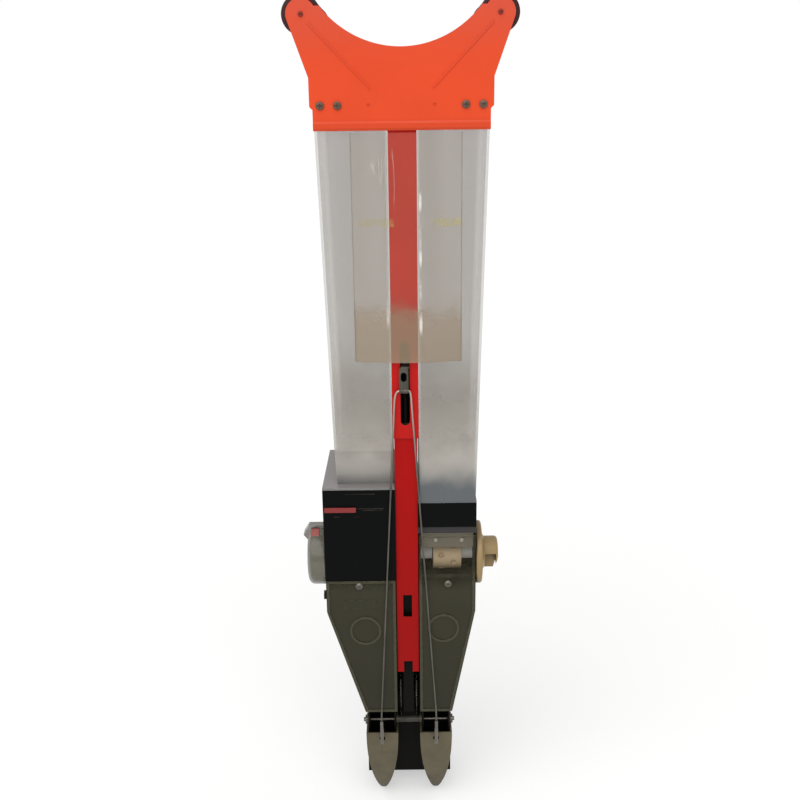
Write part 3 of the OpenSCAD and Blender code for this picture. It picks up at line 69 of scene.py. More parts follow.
def box_mm(node):
    """Lowest and highest corner of a carried solid, in millimetres."""
    low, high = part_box(node)
    return Vector(low) / MM, Vector(high) / MM


def number(label, text, value, kind=FloatProperty, **options):
    """A property with its label, text and first value."""
    return kind(name=label, description=text, default=value, **options)


def tone(label, text, red, green, blue):
    """A colour property, in the 0 to 255 steps of a display."""
    return number(label, text, (red / 255, green / 255, blue / 255), FloatVectorProperty,
                  subtype="COLOR_GAMMA", size=3, min=0, max=1)


def length(label, text, millimetres):
    """A length property in metres, given in millimetres."""
    return number(label, text, millimetres * MM, unit="LENGTH")


def angle(label, text, degrees):
    """An angle property, given in degrees."""
    return number(label, text, math.radians(degrees), subtype="ANGLE")


# Values that a user would change

class PLANTER_PG_colours(bpy.types.PropertyGroup):
    """Colours of the planter's finishes"""
    orange: tone("Yoke", "Moulded orange of the yoke plates", 238, 76, 30)
    # Duller orange toward the yoke's tips; along its edges it is painted shade.
    dull_orange: tone("Yoke edges", "Duller orange of the yoke's edges and tips", 216, 88, 66)
    rubber: tone("Grips", "Dark rubber of the grips", 56, 20, 24)
    wood: tone("Bars", "Turned bars inside the grips", 172, 140, 100)
    clear: tone("Hoppers", "Clouded clear plastic of the hoppers", 127, 116, 98)
    settled: tone("Hopper foot", "Milky foot of the hoppers", 208, 202, 193)
    # Painted shade at the hoppers' neck.
    neck_shade: tone("Hopper neck", "Blue-grey neck of the hoppers", 104, 109, 112)
    # Dust and painted grazing reflection on the hoppers' level faces.
    flange: tone("Hopper flange", "Dusty level faces of the hoppers", 142, 136, 135)
    lid: tone("Lids", "Black lids of the hoppers", 16, 17, 19)
    film: tone("Film", "Clear film over the hoppers' fronts", 168, 147, 122)
    band: tone("Film band", "Plain translucent band at the film's foot", 156, 136, 109)
    tape: tone("Tape", "Yellowed tape across the film", 190, 176, 110)
    sleeve: tone("Spine sleeve", "Red enamel of the upper sleeve", 202, 30, 26)
    tube: tone("Spine tube", "Crimson enamel of the lower tube", 186, 12, 10)
    housing: tone("Housings", "Black plastic of the metering housings", 9, 10, 10)
    cover: tone("Covers", "Smoky see-through plastic of the chute covers", 58, 56, 43)
    gate: tone("Gate", "Red slide gate", 134, 26, 24)
    nylon: tone("Bushes", "White nylon of the bushes and pinion", 240, 236, 226)
    cream: tone("Rollers", "Cream metering rollers", 236, 208, 166)
    knob: tone("Seed knob", "Yellow-beige seed knob", 158, 132, 85)
    dial: tone("Fertiliser dial", "Smoky grey dial", 116, 113, 98)
    pointer: tone("Dial insert", "Faded red insert of the dial", 172, 84, 80)
    funnel: tone("Fertiliser funnel", "Beige-grey funnel", 168, 158, 150)
    seed_funnel: tone("Seed funnel", "Warm grey funnel", 150, 141, 122)
    jaw: tone("Jaws", "Dull khaki steel of the jaws", 104, 96, 76)
    paint: tone("Black paint", "Black paint of the foot plate and push rod", 13, 12, 9)
    zinc: tone("Zinc", "Zinc plate of small fasteners", 132, 128, 120)
    dark_screw: tone("Dark screws", "Browned screws of the yoke", 108, 86, 68)
    handle_screw: tone("Handle screws", "Dark red screws of the handle bars", 150, 38, 22)
    lug: tone("Lug", "Dull zinc of the wire lug", 104, 98, 90)
    wire: tone("Wire", "Drawn steel wire", 116, 115, 106)
    bright_wire: tone("Wire top", "Rubbed bright top of the wire", 214, 200, 190)
    spring: tone("Springs", "Grey steel of the springs", 158, 153, 144)
    spacer: tone("Rod spacer", "Dull olive spacer between the jaws", 66, 64, 54)
    # A lighter grey on the ledge under the seed housing's strip.
    ledge: tone("Ledge", "Dusty ledge under the seed housing's strip", 66, 64, 64)
    dust: tone("Dust", "Pale dust on upward faces", 176, 166, 150)


class PLANTER_PG_sizes(bpy.types.PropertyGroup):
    """Sizes of the pieces that stand for carried solids"""
    edge: length("Edge", "Softened edge of the moulded pieces", 0.5)
    grip_ribs: number("Grip ribs", "Rings round a grip", 26, IntProperty, min=4)
    grip_groove: length("Grip groove", "Depth between the grip's rings", 0.9)
    jaw_wire: length("Jaw spring wire", "Wire of the jaw springs", 1.0)
    jaw_turns: number("Jaw spring turns", "Turns of a jaw spring", 18, IntProperty)
    return_wire: length("Return spring wire", "Wire of the return spring", 1.4)
    return_turns: number("Return spring turns", "Its turns", 10, IntProperty)
    film_ripple: length("Film ripple", "Height of the film's ripples", 0.9)
    band_high: length("Band height", "How far the plain band reaches up the film", 52)
    tape_drop: length("Tape drop", "How far the tapes lie below the film's top", 92)
    tape_high: length("Tape height", "Height of a tape", 8)


class PLANTER_PG_stage(bpy.types.PropertyGroup):
    """Floor, lights and camera"""
    floor: tone("Floor", "Pale floor", 247, 247, 246)
    glow: number("Floor glow", "Share of its own light in the floor", 0.45)
    daylight: number("Daylight", "Strength of the even light", 0.62)
    sun: number("Sun", "Strength of the soft light from above", 2.1)
    distance: length("Camera distance", "Camera in front of the planter", 1060)
    height: length("Camera height", "Camera above the floor", 826)
    pitch: angle("Camera pitch", "How far the camera looks down", 17)
    roll: angle("Camera roll", "Turn of the picture", -0.69)
    focal: number("Focal length", "In widths of the picture", 974 / 800)
    shift: number("Shift", "Sideways shift in widths of the picture", -5.2 / 800)


def colours():
    return bpy.context.scene.planter_colours


def sizes():
    return bpy.context.scene.planter_sizes


def straight(colour):
    """A display colour's linear values."""
    return [c / 12.92 if c <= 0.04045 else ((c + 0.055) / 1.055) ** 2.4 for c in colour]


def linear(colour):
    """A display colour as a shader's linear RGBA, so that it shows as given on a lit front face."""
    return tuple(c / FRONT_LIGHT for c in straight(colour)) + (1,)


def shaded(colour, factor, rise=0.0):
    """A lighter or darker display colour."""
    return [c * factor + rise for c in colour]


# Shader building

def feed(tree, socket, value):
    """Gives an input socket a value, or links another socket to it."""
    if isinstance(value, bpy.types.NodeSocket):
        tree.links.new(value, socket)
    else:
        socket.default_value = value


def add(tree, kind, inputs=None, **settings):
    """One shader node: settings are its options, inputs are values or sockets to link."""
    made = tree.nodes.new("ShaderNode" + kind)
    for key, value in settings.items():
        setattr(made, key, value)
    for key, value in (inputs or {}).items():
        feed(tree, made.inputs[key], value)
    return made


def sums(tree, operation, a, b=0.5, c=0.5, clamp=False):
    """A Math node's result."""
    return add(tree, "Math", {0: a, 1: b, 2: c}, operation=operation, use_clamp=clamp).outputs[0]


def product(tree, *factors):
    """Several values multiplied."""
    made = factors[0]
    for factor in factors[1:]:
        made = sums(tree, "MULTIPLY", made, factor, clamp=True)
    return made


def blend_colour(tree, share, a, b):
    """Colour a, turning into b by share."""
    made = add(tree, "Mix", {0: share, 6: a, 7: b}, data_type="RGBA")
    return made.outputs[2]


def between(tree, value, low, high):
    """0 below low, 1 above high and smooth in between."""
    made = add(tree, "MapRange", {0: value, 1: low, 2: high}, interpolation_type="SMOOTHSTEP")
    return made.outputs[0]


def own_place(tree):
    """The three coordinates of a point in the piece's own space."""
    return add(tree, "SeparateXYZ", {0: add(tree, "TexCoord").outputs["Object"]}).outputs


def upward(tree):
    """How far a face looks up, from -1 to 1."""
    return add(tree, "SeparateXYZ", {0: add(tree, "TexCoord").outputs["Normal"]}).outputs[2]


def stretched_noise(tree, stretch, scale, detail=3, distortion=0.0):
    """Noise over the piece's own coordinates, stretched along each axis."""
    place = add(tree, "TexCoord").outputs["Object"]
    spread = add(tree, "VectorMath", {0: place, 1: stretch}, operation="MULTIPLY").outputs[0]
    made = add(tree, "TexNoise", {
        "Vector": spread, "Scale": scale, "Detail": detail, "Distortion": distortion})
    return made.outputs["Fac"]


def effect(name, inputs, label="Mask", kind="Float"):
    """A shader node group: its tree, its named inputs and its one output."""
    tree = bpy.data.node_groups.new(name, "ShaderNodeTree")
    for given, sort, default in inputs:
        socket = tree.interface.new_socket(given, in_out="INPUT", socket_type="NodeSocket" + sort)
        socket.default_value = default
    tree.interface.new_socket(label, in_out="OUTPUT", socket_type="NodeSocket" + kind)
    start = tree.nodes.new("NodeGroupInput")
    end = tree.nodes.new("NodeGroupOutput")
    return tree, start.outputs, end.inputs[0]


def make_mottle():
    """Broad patches of a slightly lighter and darker colour."""
    tree, given, result = effect(
        "Mottle", [("Colour", "Color", (1, 1, 1, 1)), ("Scale", "Float", 20), ("Amount", "Float", 0.1)],
        "Colour", "Color")
    patches = stretched_noise(tree, (1, 1, 1), given["Scale"], 4)
    swing = sums(tree, "MULTIPLY_ADD", patches, 4, -2)
    factor = sums(tree, "MULTIPLY_ADD", swing, given["Amount"], 1)
    scaled = add(tree, "VectorMath", {0: given["Colour"], "Scale": factor}, operation="SCALE")
    tree.links.new(scaled.outputs[0], result)


def make_grain():
    """Fine moulded grain as a height."""
    tree, given, result = effect("Fine Grain", [("Scale", "Float", 900)], "Height")
    tree.links.new(stretched_noise(tree, (1, 1, 1), given["Scale"], 2), result)


def make_edge_wear_and_light():
    """A mask along edges: for rubbed wear, and for painted shade and highlight along edges."""
    tree, given, result = effect("Edge Wear And Light", [("Width", "Float", 0.001), ("Amount", "Float", 1)])
    rounded = add(tree, "Bevel", {"Radius": given["Width"]}, samples=4).outputs[0]
    flat = add(tree, "NewGeometry").outputs["Normal"]
    turn = add(tree, "VectorMath", {0: rounded, 1: flat}, operation="DOT_PRODUCT").outputs["Value"]
    edge = between(tree, sums(tree, "SUBTRACT", 1, turn), 0.02, 0.25)
    patchy = between(tree, stretched_noise(tree, (1, 1, 1), 160, 4), 0.42, 0.62)
    tree.links.new(product(tree, edge, patchy, given["Amount"]), result)


def make_dust():
    """A mask of dust on faces that look up."""
    tree, given, result = effect("Dust", [("Amount", "Float", 0.4)])
    lies = between(tree, upward(tree), 0.25, 0.95)
    patchy = between(tree, stretched_noise(tree, (1, 1, 1), 70, 5), 0.3, 0.75)
    tree.links.new(product(tree, lies, patchy, given["Amount"]), result)


def make_scuffs():
    """Fine crossing scratches as a mask."""
    tree, given, result = effect("Scuffs", [("Scale", "Float", 240)])
    masks = []
    for stretch in ((1, 1, 0.05), (0.06, 1, 1)):
        fine = stretched_noise(tree, stretch, given["Scale"], 2, 0.4)
        masks.append(between(tree, fine, 0.62, 0.74))
    tree.links.new(sums(tree, "MAXIMUM", *masks), result)


def make_streaks():
    """Long upright streaks: drawn lines on metal, painted reflection streaks on the clear hoppers."""
    tree, given, result = effect("Upright Streaks", [("Scale", "Float", 60), ("Reach", "Float", 0.05)])
    stretch = add(tree, "CombineXYZ", {0: 1.0, 1: 1.0, 2: given["Reach"]}).outputs[0]
    fine = stretched_noise(tree, stretch, given["Scale"], 3)
    tree.links.new(between(tree, fine, 0.35, 0.7), result)


def make_height_fade():
    """0 at the low height and 1 at the high one, with a ragged line between."""
    tree, given, result = effect(
        "Height Fade", [("Low", "Float", 0), ("High", "Float", 1), ("Ragged", "Float", 0)])
    rough = sums(tree, "SUBTRACT", stretched_noise(tree, (1, 1, 1), 45, 4), 0.5)
    moved = sums(tree, "MULTIPLY_ADD", rough, given["Ragged"], own_place(tree)[2])
    tree.links.new(between(tree, moved, given["Low"], given["High"]), result)


def make_level_faces():
    """A mask of the faces that lie level, up or down."""
    tree, given, result = effect("Level Faces", [("Start", "Float", 0.5)])
    slope = sums(tree, "ABSOLUTE", upward(tree))
    tree.links.new(between(tree, slope, given["Start"], 1.0), result)


def make_corner_shade():
    """A mask of painted shade in corners and along joints, where ambient occlusion finds them closed in."""
    tree, given, result = effect("Corner Painted Shade", [("Reach", "Float", 0.004), ("Amount", "Float", 0.5)])
    open_sky = add(tree, "AmbientOcclusion", {"Distance": given["Reach"]}, samples=6).outputs["AO"]
    shut = between(tree, sums(tree, "SUBTRACT", 1, open_sky), 0.12, 0.7)
    tree.links.new(product(tree, shut, given["Amount"]), result)


def use(tree, name, **inputs):
    """One placed effect's output."""
    made = tree.nodes.new("ShaderNodeGroup")
    made.node_tree = bpy.data.node_groups[name]
    for key, value in inputs.items():
        feed(tree, made.inputs[key], value)
    return made.outputs[0]


def above(tree, low, high, ragged):
    """0 below one height in metres and 1 above the other, with a ragged line between."""
    return use(tree, "Height Fade", Low=low, High=high, Ragged=ragged)


def below(tree, low, high, ragged):
    """1 below one height in metres and 0 above the other, with a ragged line between."""
    return sums(tree, "SUBTRACT", 1, above(tree, low, high, ragged))


class Finish:
    """One material: its shader, and the colour, roughness and height that lead into it."""

    def __init__(self, name, colour, roughness, **sockets):
        self.material = bpy.data.materials.new(name)
        self.material.use_nodes = True
        self.tree = self.material.node_tree
        self.shader = self.tree.nodes["Principled BSDF"]
        self.plain = colour
        self.colour = linear(colour)
        self.roughness = roughness
        self.height = None
        for key, value in sockets.items():
            self.put(key.replace("_", " "), value)

    def put(self, socket, value):
        """Gives one of the shader's inputs a value or a link."""
        feed(self.tree, self.shader.inputs[socket], value)

    def mottle(self, scale, amount):
        self.colour = use(self.tree, "Mottle", Colour=self.colour, Scale=scale, Amount=amount)
        return self

    def mix(self, mask, colour, roughness=None, share=None):
        """Another colour, and another roughness, where the mask or a share of it says."""
        if share is not None:
            mask = product(self.tree, mask, share)
        self.colour = blend_colour(self.tree, mask, self.colour, linear(colour))
        if roughness is not None:
            rise = sums(self.tree, "SUBTRACT", roughness, self.roughness)
            self.roughness = sums(self.tree, "MULTIPLY_ADD", mask, rise, self.roughness)
        return self

    # An edge band of another colour: rubbed wear on some finishes, painted edge shade and highlight on
    # others.
    def edge_wear_and_light(self, width, colour, amount=1.0, roughness=None):
        return self.mix(use(self.tree, "Edge Wear And Light", Width=width, Amount=amount), colour, roughness)

    def dust(self, amount, roughness=0.8):
        return self.mix(use(self.tree, "Dust", Amount=amount), colours().dust, roughness)

    def scuffs(self, scale, share):
        mask = use(self.tree, "Scuffs", Scale=scale)
        self.roughness = sums(self.tree, "MULTIPLY_ADD", mask, share, self.roughness)
        return self

    def painted_shade(self, reach, amount, shade=0.5):
        """Painted shade: darker corners; only for a colour that is still plain."""
        mask = use(self.tree, "Corner Painted Shade", Reach=reach, Amount=amount)
        return self.mix(mask, shaded(self.plain, shade), 0.7)

    def grain(self, scale, depth):
        self.height = (use(self.tree, "Fine Grain", Scale=scale), depth)
        return self

    def see_through(self, base, *layers):
        """How opaque the finish is: a base value, and what each mask adds to it."""
        for mask, share in layers:
            base = sums(self.tree, "MULTIPLY_ADD", mask, share, base, clamp=True)
        self.put("Alpha", base)

    def glow(self, colour, strength):
        """A faint light of its own."""
        self.put("Emission Color", colour)
        self.put("Emission Strength", strength)

    def done(self):
        """Links what was gathered, and gives the material."""
        self.put("Base Color", self.colour)
        self.put("Roughness", self.roughness)
        if self.height:
            bump = add(self.tree, "Bump", {
                "Height": self.height[0], "Strength": 1.0, "Distance": self.height[1]})
            self.put("Normal", bump.outputs[0])
        return self.material


def moulded(name, colour, roughness=0.42, painted_shade=(0.004, 0.6, 0.5), dust=0.15, **sockets):
    """Opaque moulded plastic with grain, faint patches, scuffs, painted shade in corners, pale edges and a
    little dust.
    """
    made = Finish(name, colour, roughness, **sockets).mottle(22, 0.05)
    # Pale edges: partly wear, partly a painted highlight along the edges; corners get painted shade.
    pale = [min(1, c) for c in shaded(colour, 1.25, 0.05)]
    made.painted_shade(*painted_shade).edge_wear_and_light(0.0009, pale, 0.5)
    return made.dust(dust).scuffs(260, 0.16).grain(1100, 0.00006)


def metal(name, colour, roughness=0.35, **sockets):
    """Plated or bare metal with drawn streaks and dull patches."""
    made = Finish(name, colour, roughness, Metallic=1.0, **sockets).mottle(60, 0.12)
    streaks = use(made.tree, "Upright Streaks", Scale=420, Reach=0.08)
    made.mix(streaks, shaded(colour, 0.55), roughness + 0.2, share=0.3)
    return made.scuffs(400, 0.15).grain(1500, 0.00003)


# Mesh building

def new_mesh(name, points, faces, smooth=True):
    """A mesh object in millimetres turned into metres."""
    mesh = bpy.data.meshes.new(name)
    mesh.from_pydata([Vector(p) * MM for p in points], [], faces)
    mesh.validate()
    made = bpy.data.objects.new(name, mesh)
    bpy.context.scene.collection.objects.link(made)
    work = bmesh.new()
    work.from_mesh(mesh)
    bmesh.ops.recalc_face_normals(work, faces=work.faces)
    work.to_mesh(mesh)
    work.free()
    if smooth:
        mesh.polygons.foreach_set("use_smooth", [True] * len(mesh.polygons))
    return made


def skin(rings, sides, first=0):
    """Faces between closed rings of points that follow one another."""
    return [(a + k, a + (k + 1) % sides, a + sides + (k + 1) % sides, a + sides + k)
            for a in range(first, first + (rings - 1) * sides, sides) for k in range(sides)]


def swept(name, path, diameter, sides=10):
    """A round bar along a path in millimetres, with closed ends."""
    points = [Vector(p) for p in path]
    ways = []
    for i in range(len(points)):
        step = points[min(i + 1, len(points) - 1)] - points[max(i - 1, 0)]
        ways.append(step.normalized())
    across = ways[0].orthogonal().normalized()
    rings = []
    for point, way in zip(points, ways):
        across = (across - way * across.dot(way)).normalized()
        other = way.cross(across)
        rings.append([
            point + (across * math.cos(a) + other * math.sin(a)) * diameter / 2
            for a in (2 * math.pi * k / sides for k in range(sides))])
    faces = skin(len(rings), sides)
    last = (len(rings) - 1) * sides
    faces.append(tuple(reversed(range(sides))))
    faces.append(tuple(range(last, last + sides)))
    return new_mesh(name, [p for ring in rings for p in ring], faces)


def turned_about_y(name, profile, centre, sides=64):
    """A closed profile of (radius, y) pairs in millimetres, turned about a line along Y."""
    points, faces = [], []
    for k in range(sides):
        a = 2 * math.pi * k / sides
        for radius, y in profile:
            points.append((centre[0] + radius * math.cos(a), y, centre[1] + radius * math.sin(a)))
    count = len(profile)
    for k in range(sides):
        n = (k + 1) % sides
        for i in range(count):
            j = (i + 1) % count
            faces.append((k * count + i, k * count + j, n * count + j, n * count + i))
    return new_mesh(name, points, faces)


def solids(node):
    """The boxes in millimetres of a node's separate solids."""
    work = bmesh.new()
    work.from_mesh(NODES[node].data)
    bmesh.ops.remove_doubles(work, verts=work.verts, dist=0.00001)
    left = set(work.verts)
    boxes = []
    while left:
        island, front = set(), [left.pop()]
        while front:
            vertex = front.pop()
            island.add(vertex)
            near = {e.other_vert(vertex) for e in vertex.link_edges} & left
            left -= near
            front += near
        places = [v.co / MM for v in island]
        boxes.append((Vector([min(p[k] for p in places) for k in range(3)]),
                      Vector([max(p[k] for p in places) for k in range(3)])))
    work.free()
    return sorted(boxes, key=lambda b: tuple(round(v, 2) for v in b[0]))


def crossed_screw(box, head_high, shank):
    """Points and faces of a screw along Y that fills a box, its domed and crossed head outward."""
    cross_floor, dome, dome_power = 0.45, 0.55, 2.6
    cross_reach, cross_half = 0.56, 0.13
    low, high = box
    outward = -1 if low.y + high.y < 0 else 1
    tip, end = (low.y, high.y) if outward < 0 else (high.y, low.y)
    radius = (high.x - low.x) / 2
    middle = (low + high) / 2
    turns, rings = 48, 14
    profile = []
    for i in range(1, rings + 1):
        profile.append((radius * i / rings, head_high * (1 - dome * (i / rings) ** dome_power)))
    profile += [(radius, 0.0), (shank, 0.0), (shank, -abs(end - tip) + head_high)]
    points = [(0.0, cross_floor * head_high, 0.0)]
    for distance, rise in profile:
        for k in range(turns):
            a = 2 * math.pi * k / turns
            x, z = distance * math.cos(a), distance * math.sin(a)
            narrow, wide = sorted((abs(x), abs(z)))
            sunk = rise > 0 and wide < cross_reach * radius and narrow < cross_half * radius
            points.append((x, cross_floor * head_high if sunk else rise, z))
    placed = [(middle.x + x, tip - outward * (head_high - y), middle.z + z) for x, y, z in points]
    faces = [(0, 1 + k, 1 + (k + 1) % turns) for k in range(turns)]
    faces += skin(len(profile), turns, 1)
    last = 1 + (len(profile) - 1) * turns
    faces.append(tuple(range(last, last + turns)))
    return placed, faces


def screw_mesh(name, boxes, head_high, shank):
    """One piece of crossed screws, each filling a box."""
    points, faces = [], []
    for box in boxes:
        placed, sides = crossed_screw(box, head_high, shank)
        faces += [tuple(i + len(points) for i in side) for side in sides]
        points += placed
    return new_mesh(name, points, faces, smooth=False)


def crossed_screws(name, node, body, material, head_high, shank):
    """Domed and crossed screws in place of a node's plain ones."""
    stands_for(screw_mesh(name, solids(node), head_high, shank), node, body, material)


def soften(node, width=None, angle=32):
    """Small rounded edges on a carried solid, by modifiers alone."""
    solid = NODES[node]
    weld = solid.modifiers.new("weld", "WELD")
    weld.merge_threshold = 0.00001
    flat = solid.modifiers.new("flat", "DECIMATE")
    flat.decimate_type = "DISSOLVE"
    flat.angle_limit = math.radians(0.5)
    bevel = solid.modifiers.new("edge", "BEVEL")
    bevel.width = width or sizes().edge
    bevel.segments = 2
    bevel.limit_method = "ANGLE"
    bevel.angle_limit = math.radians(angle)
    bevel.harden_normals = True


def paint(material, *nodes, edge=None):
    """Gives carried solids a finish, and softened edges where a width is given."""
    for node in nodes:
        data = NODES[node].data
        data.materials.clear()
        data.materials.append(material)
        if edge:
            soften(node, edge)


def stands_for(piece, node, body, material):
    """A new piece takes a solid's place and body."""
    piece.data.materials.append(material)
    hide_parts(node)
    if body:
        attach(piece, body)


# Operators, one for each piece or group of like pieces. A triple of heights in them gives the two ends of
# a tone's fade and how ragged its line is, in metres.

class Step:
    """An operator that builds and has then finished"""

    def execute(self, context):
        self.build()
        return {"FINISHED"}


class PLANTER_OT_effects(Step, bpy.types.Operator):
    """Builds the shader effects that the finishes share"""
    bl_idname = "planter.effects"
    bl_label = "Shared effects"

    def build(self):
        for make in (make_mottle, make_grain, make_edge_wear_and_light, make_dust, make_scuffs, make_streaks,
                     make_height_fade, make_level_faces, make_corner_shade):
            make()


class PLANTER_OT_yoke(Step, bpy.types.Operator):
    """Finishes the yoke plates, their bars and screws"""
    bl_idname = "planter.yoke"
    bl_label = "Yoke"

    # Heights of the duller orange toward the tips, and of the painted shade on the hem's lower part
    tips, hem = (0.85, 0.93, 0.03), (0.806, 0.812, 0.002)
    rubbed_screw = (0.62, 0.5, 0.45)

    def build(self):
        orange = Finish("moulded orange", colours().orange, 0.42, Specular_IOR_Level=0.25).mottle(14, 0.05)
        orange.mix(above(orange.tree, *self.tips), colours().dull_orange, share=0.6)
        # Painted shade: the hem's lower part darker.
        orange.mix(below(orange.tree, *self.hem), shaded(colours().orange, 0.93), share=0.7)
        # Painted shade in the rib grooves and corners, and painted shade along the rounded edges in duller
        # orange.
        orange.painted_shade(0.004, 0.25, 0.7).edge_wear_and_light(0.0024, colours().dull_orange, 0.5, 0.5)
        orange.dust(0.1).scuffs(260, 0.16).grain(1100, 0.00006)
        paint(orange.done(), "yoke_front", "yoke_rear", edge=sizes().edge)
        wood = Finish("turned wood", colours().wood, 0.6).mottle(40, 0.2).grain(500, 0.0001).done()
        paint(wood, "left_handle_bar", "right_handle_bar")
        dark = Finish("browned screws", colours().dark_screw, 0.5, Metallic=0.2).mottle(60, 0.15)
        dark = dark.edge_wear_and_light(0.0004, self.rubbed_screw, 0.8, 0.35).grain(1200, 0.00004).done()
        red = Finish("painted handle screws", colours().handle_screw, 0.5).mottle(80, 0.15)
        red = red.edge_wear_and_light(0.0004, colours().dark_screw, 0.6).grain(1200, 0.00004).done()
        crossed_screws("crossed_yoke_screws", "yoke_screws", "frame", dark, head_high=3.0, shank=2.5)
        crossed_screws("crossed_handle_screws", "handle_screws", "frame", red, head_high=2.2, shank=1.5)


class PLANTER_OT_grips(Step, bpy.types.Operator):
    """Ribbed rubber grips in place of the plain sleeves"""
    bl_idname = "planter.grips"
    bl_label = "Grips"

    # Smooth flange at each end, its rounding, how far the rings lie below it, and slack on the bar, in mm
    flange, rounding, rings_in, slack = 4.0, 0.8, 0.4, 0.05
    ring_steps = 8

    def build(self):
        rubber = Finish("ribbed rubber", colours().rubber, 0.62, Specular_IOR_Level=0.35)
        rubber = rubber.mottle(60, 0.12).dust(0.3).grain(700, 0.0002).done()
        ribs = sizes().grip_ribs
        groove = sizes().grip_groove / MM
        for side in ("left", "right"):
            low, high = box_mm(side + "_grip")
            bar_low, bar_high = box_mm(side + "_handle_bar")
            bore = (bar_high.x - bar_low.x) / 2 + self.slack
            outer = (high.x - low.x) / 2
            flange, soft = self.flange, self.rounding
            steps = ribs * self.ring_steps
            span = high.y - low.y - 2 * flange
            profile = [(bore, low.y), (outer - soft, low.y), (outer, low.y + soft)]
            profile.append((outer, low.y + flange - soft))
            for i in range(steps + 1):
                wave = 0.5 - 0.5 * math.cos(2 * math.pi * ribs * i / steps)
                ring = outer - self.rings_in - groove * wave ** 3
                profile.append((ring, low.y + flange + span * i / steps))
            profile.append((outer, high.y - flange + soft))
            profile += [(outer, high.y - soft), (outer - soft, high.y), (bore, high.y)]
            middle = ((low.x + high.x) / 2, (low.z + high.z) / 2)
            grip = turned_about_y(side + "_ribbed_grip", profile, middle)
            stands_for(grip, side + "_grip", "frame", rubber)


class PLANTER_OT_hoppers(Step, bpy.types.Operator):
    """Finishes the clear hoppers, their lids and hinges"""
    bl_idname = "planter.hoppers"
    bl_label = "Hoppers"

    rosy, foot, neck = (0.74, 0.85, 0.02), (0.42, 0.58, 0.05), (0.416, 0.452, 0.02)
    rosy_tone = (0.62, 0.47, 0.45)
    # The left neck's strength, what the right one has more, and half the change's width in metres
    neck_left, neck_more, seam = 0.7, 0.3, 0.005

    def build(self):
        clear = Finish("clouded clear plastic", colours().clear, 0.12)
        tree = clear.tree
        # Painted reflection streaks: upright bands darker and a little more opaque.
        streaks = use(tree, "Upright Streaks", Scale=28, Reach=0.04)
        clear.mix(streaks, shaded(colours().clear, 0.85), share=0.25)
        clear.mix(above(tree, *self.rosy), self.rosy_tone, share=0.35)
        foot = below(tree, *self.foot)
        clear.mix(foot, colours().settled)
        # Painted shade: a darker blue-grey neck, stronger on the right hopper.
        right = between(tree, own_place(tree)[0], -self.seam, self.seam)
        strength = sums(tree, "MULTIPLY_ADD", right, self.neck_more, self.neck_left)
        neck = product(tree, below(tree, *self.neck), strength)
        clear.mix(neck, colours().neck_shade)
        # Level faces lighter grey and more opaque: dust, and a painted reflection of the sheet seen at a
        # grazing angle.
        level = use(tree, "Level Faces", Start=0.5)
        clear.mix(level, colours().flange, share=0.9)
        clear.see_through(0.24, (streaks, 0.04), (foot, 0.36), (neck, 0.15), (level, 0.4))
        paint(clear.scuffs(160, 0.12).done(), "left_hopper", "right_hopper", edge=0.0008)
        lid = moulded("black lid plastic", colours().lid, 0.45, Specular_IOR_Level=0.3).done()
        paint(lid, "left_lid", "right_lid", "lid_bridge", edge=0.0006)


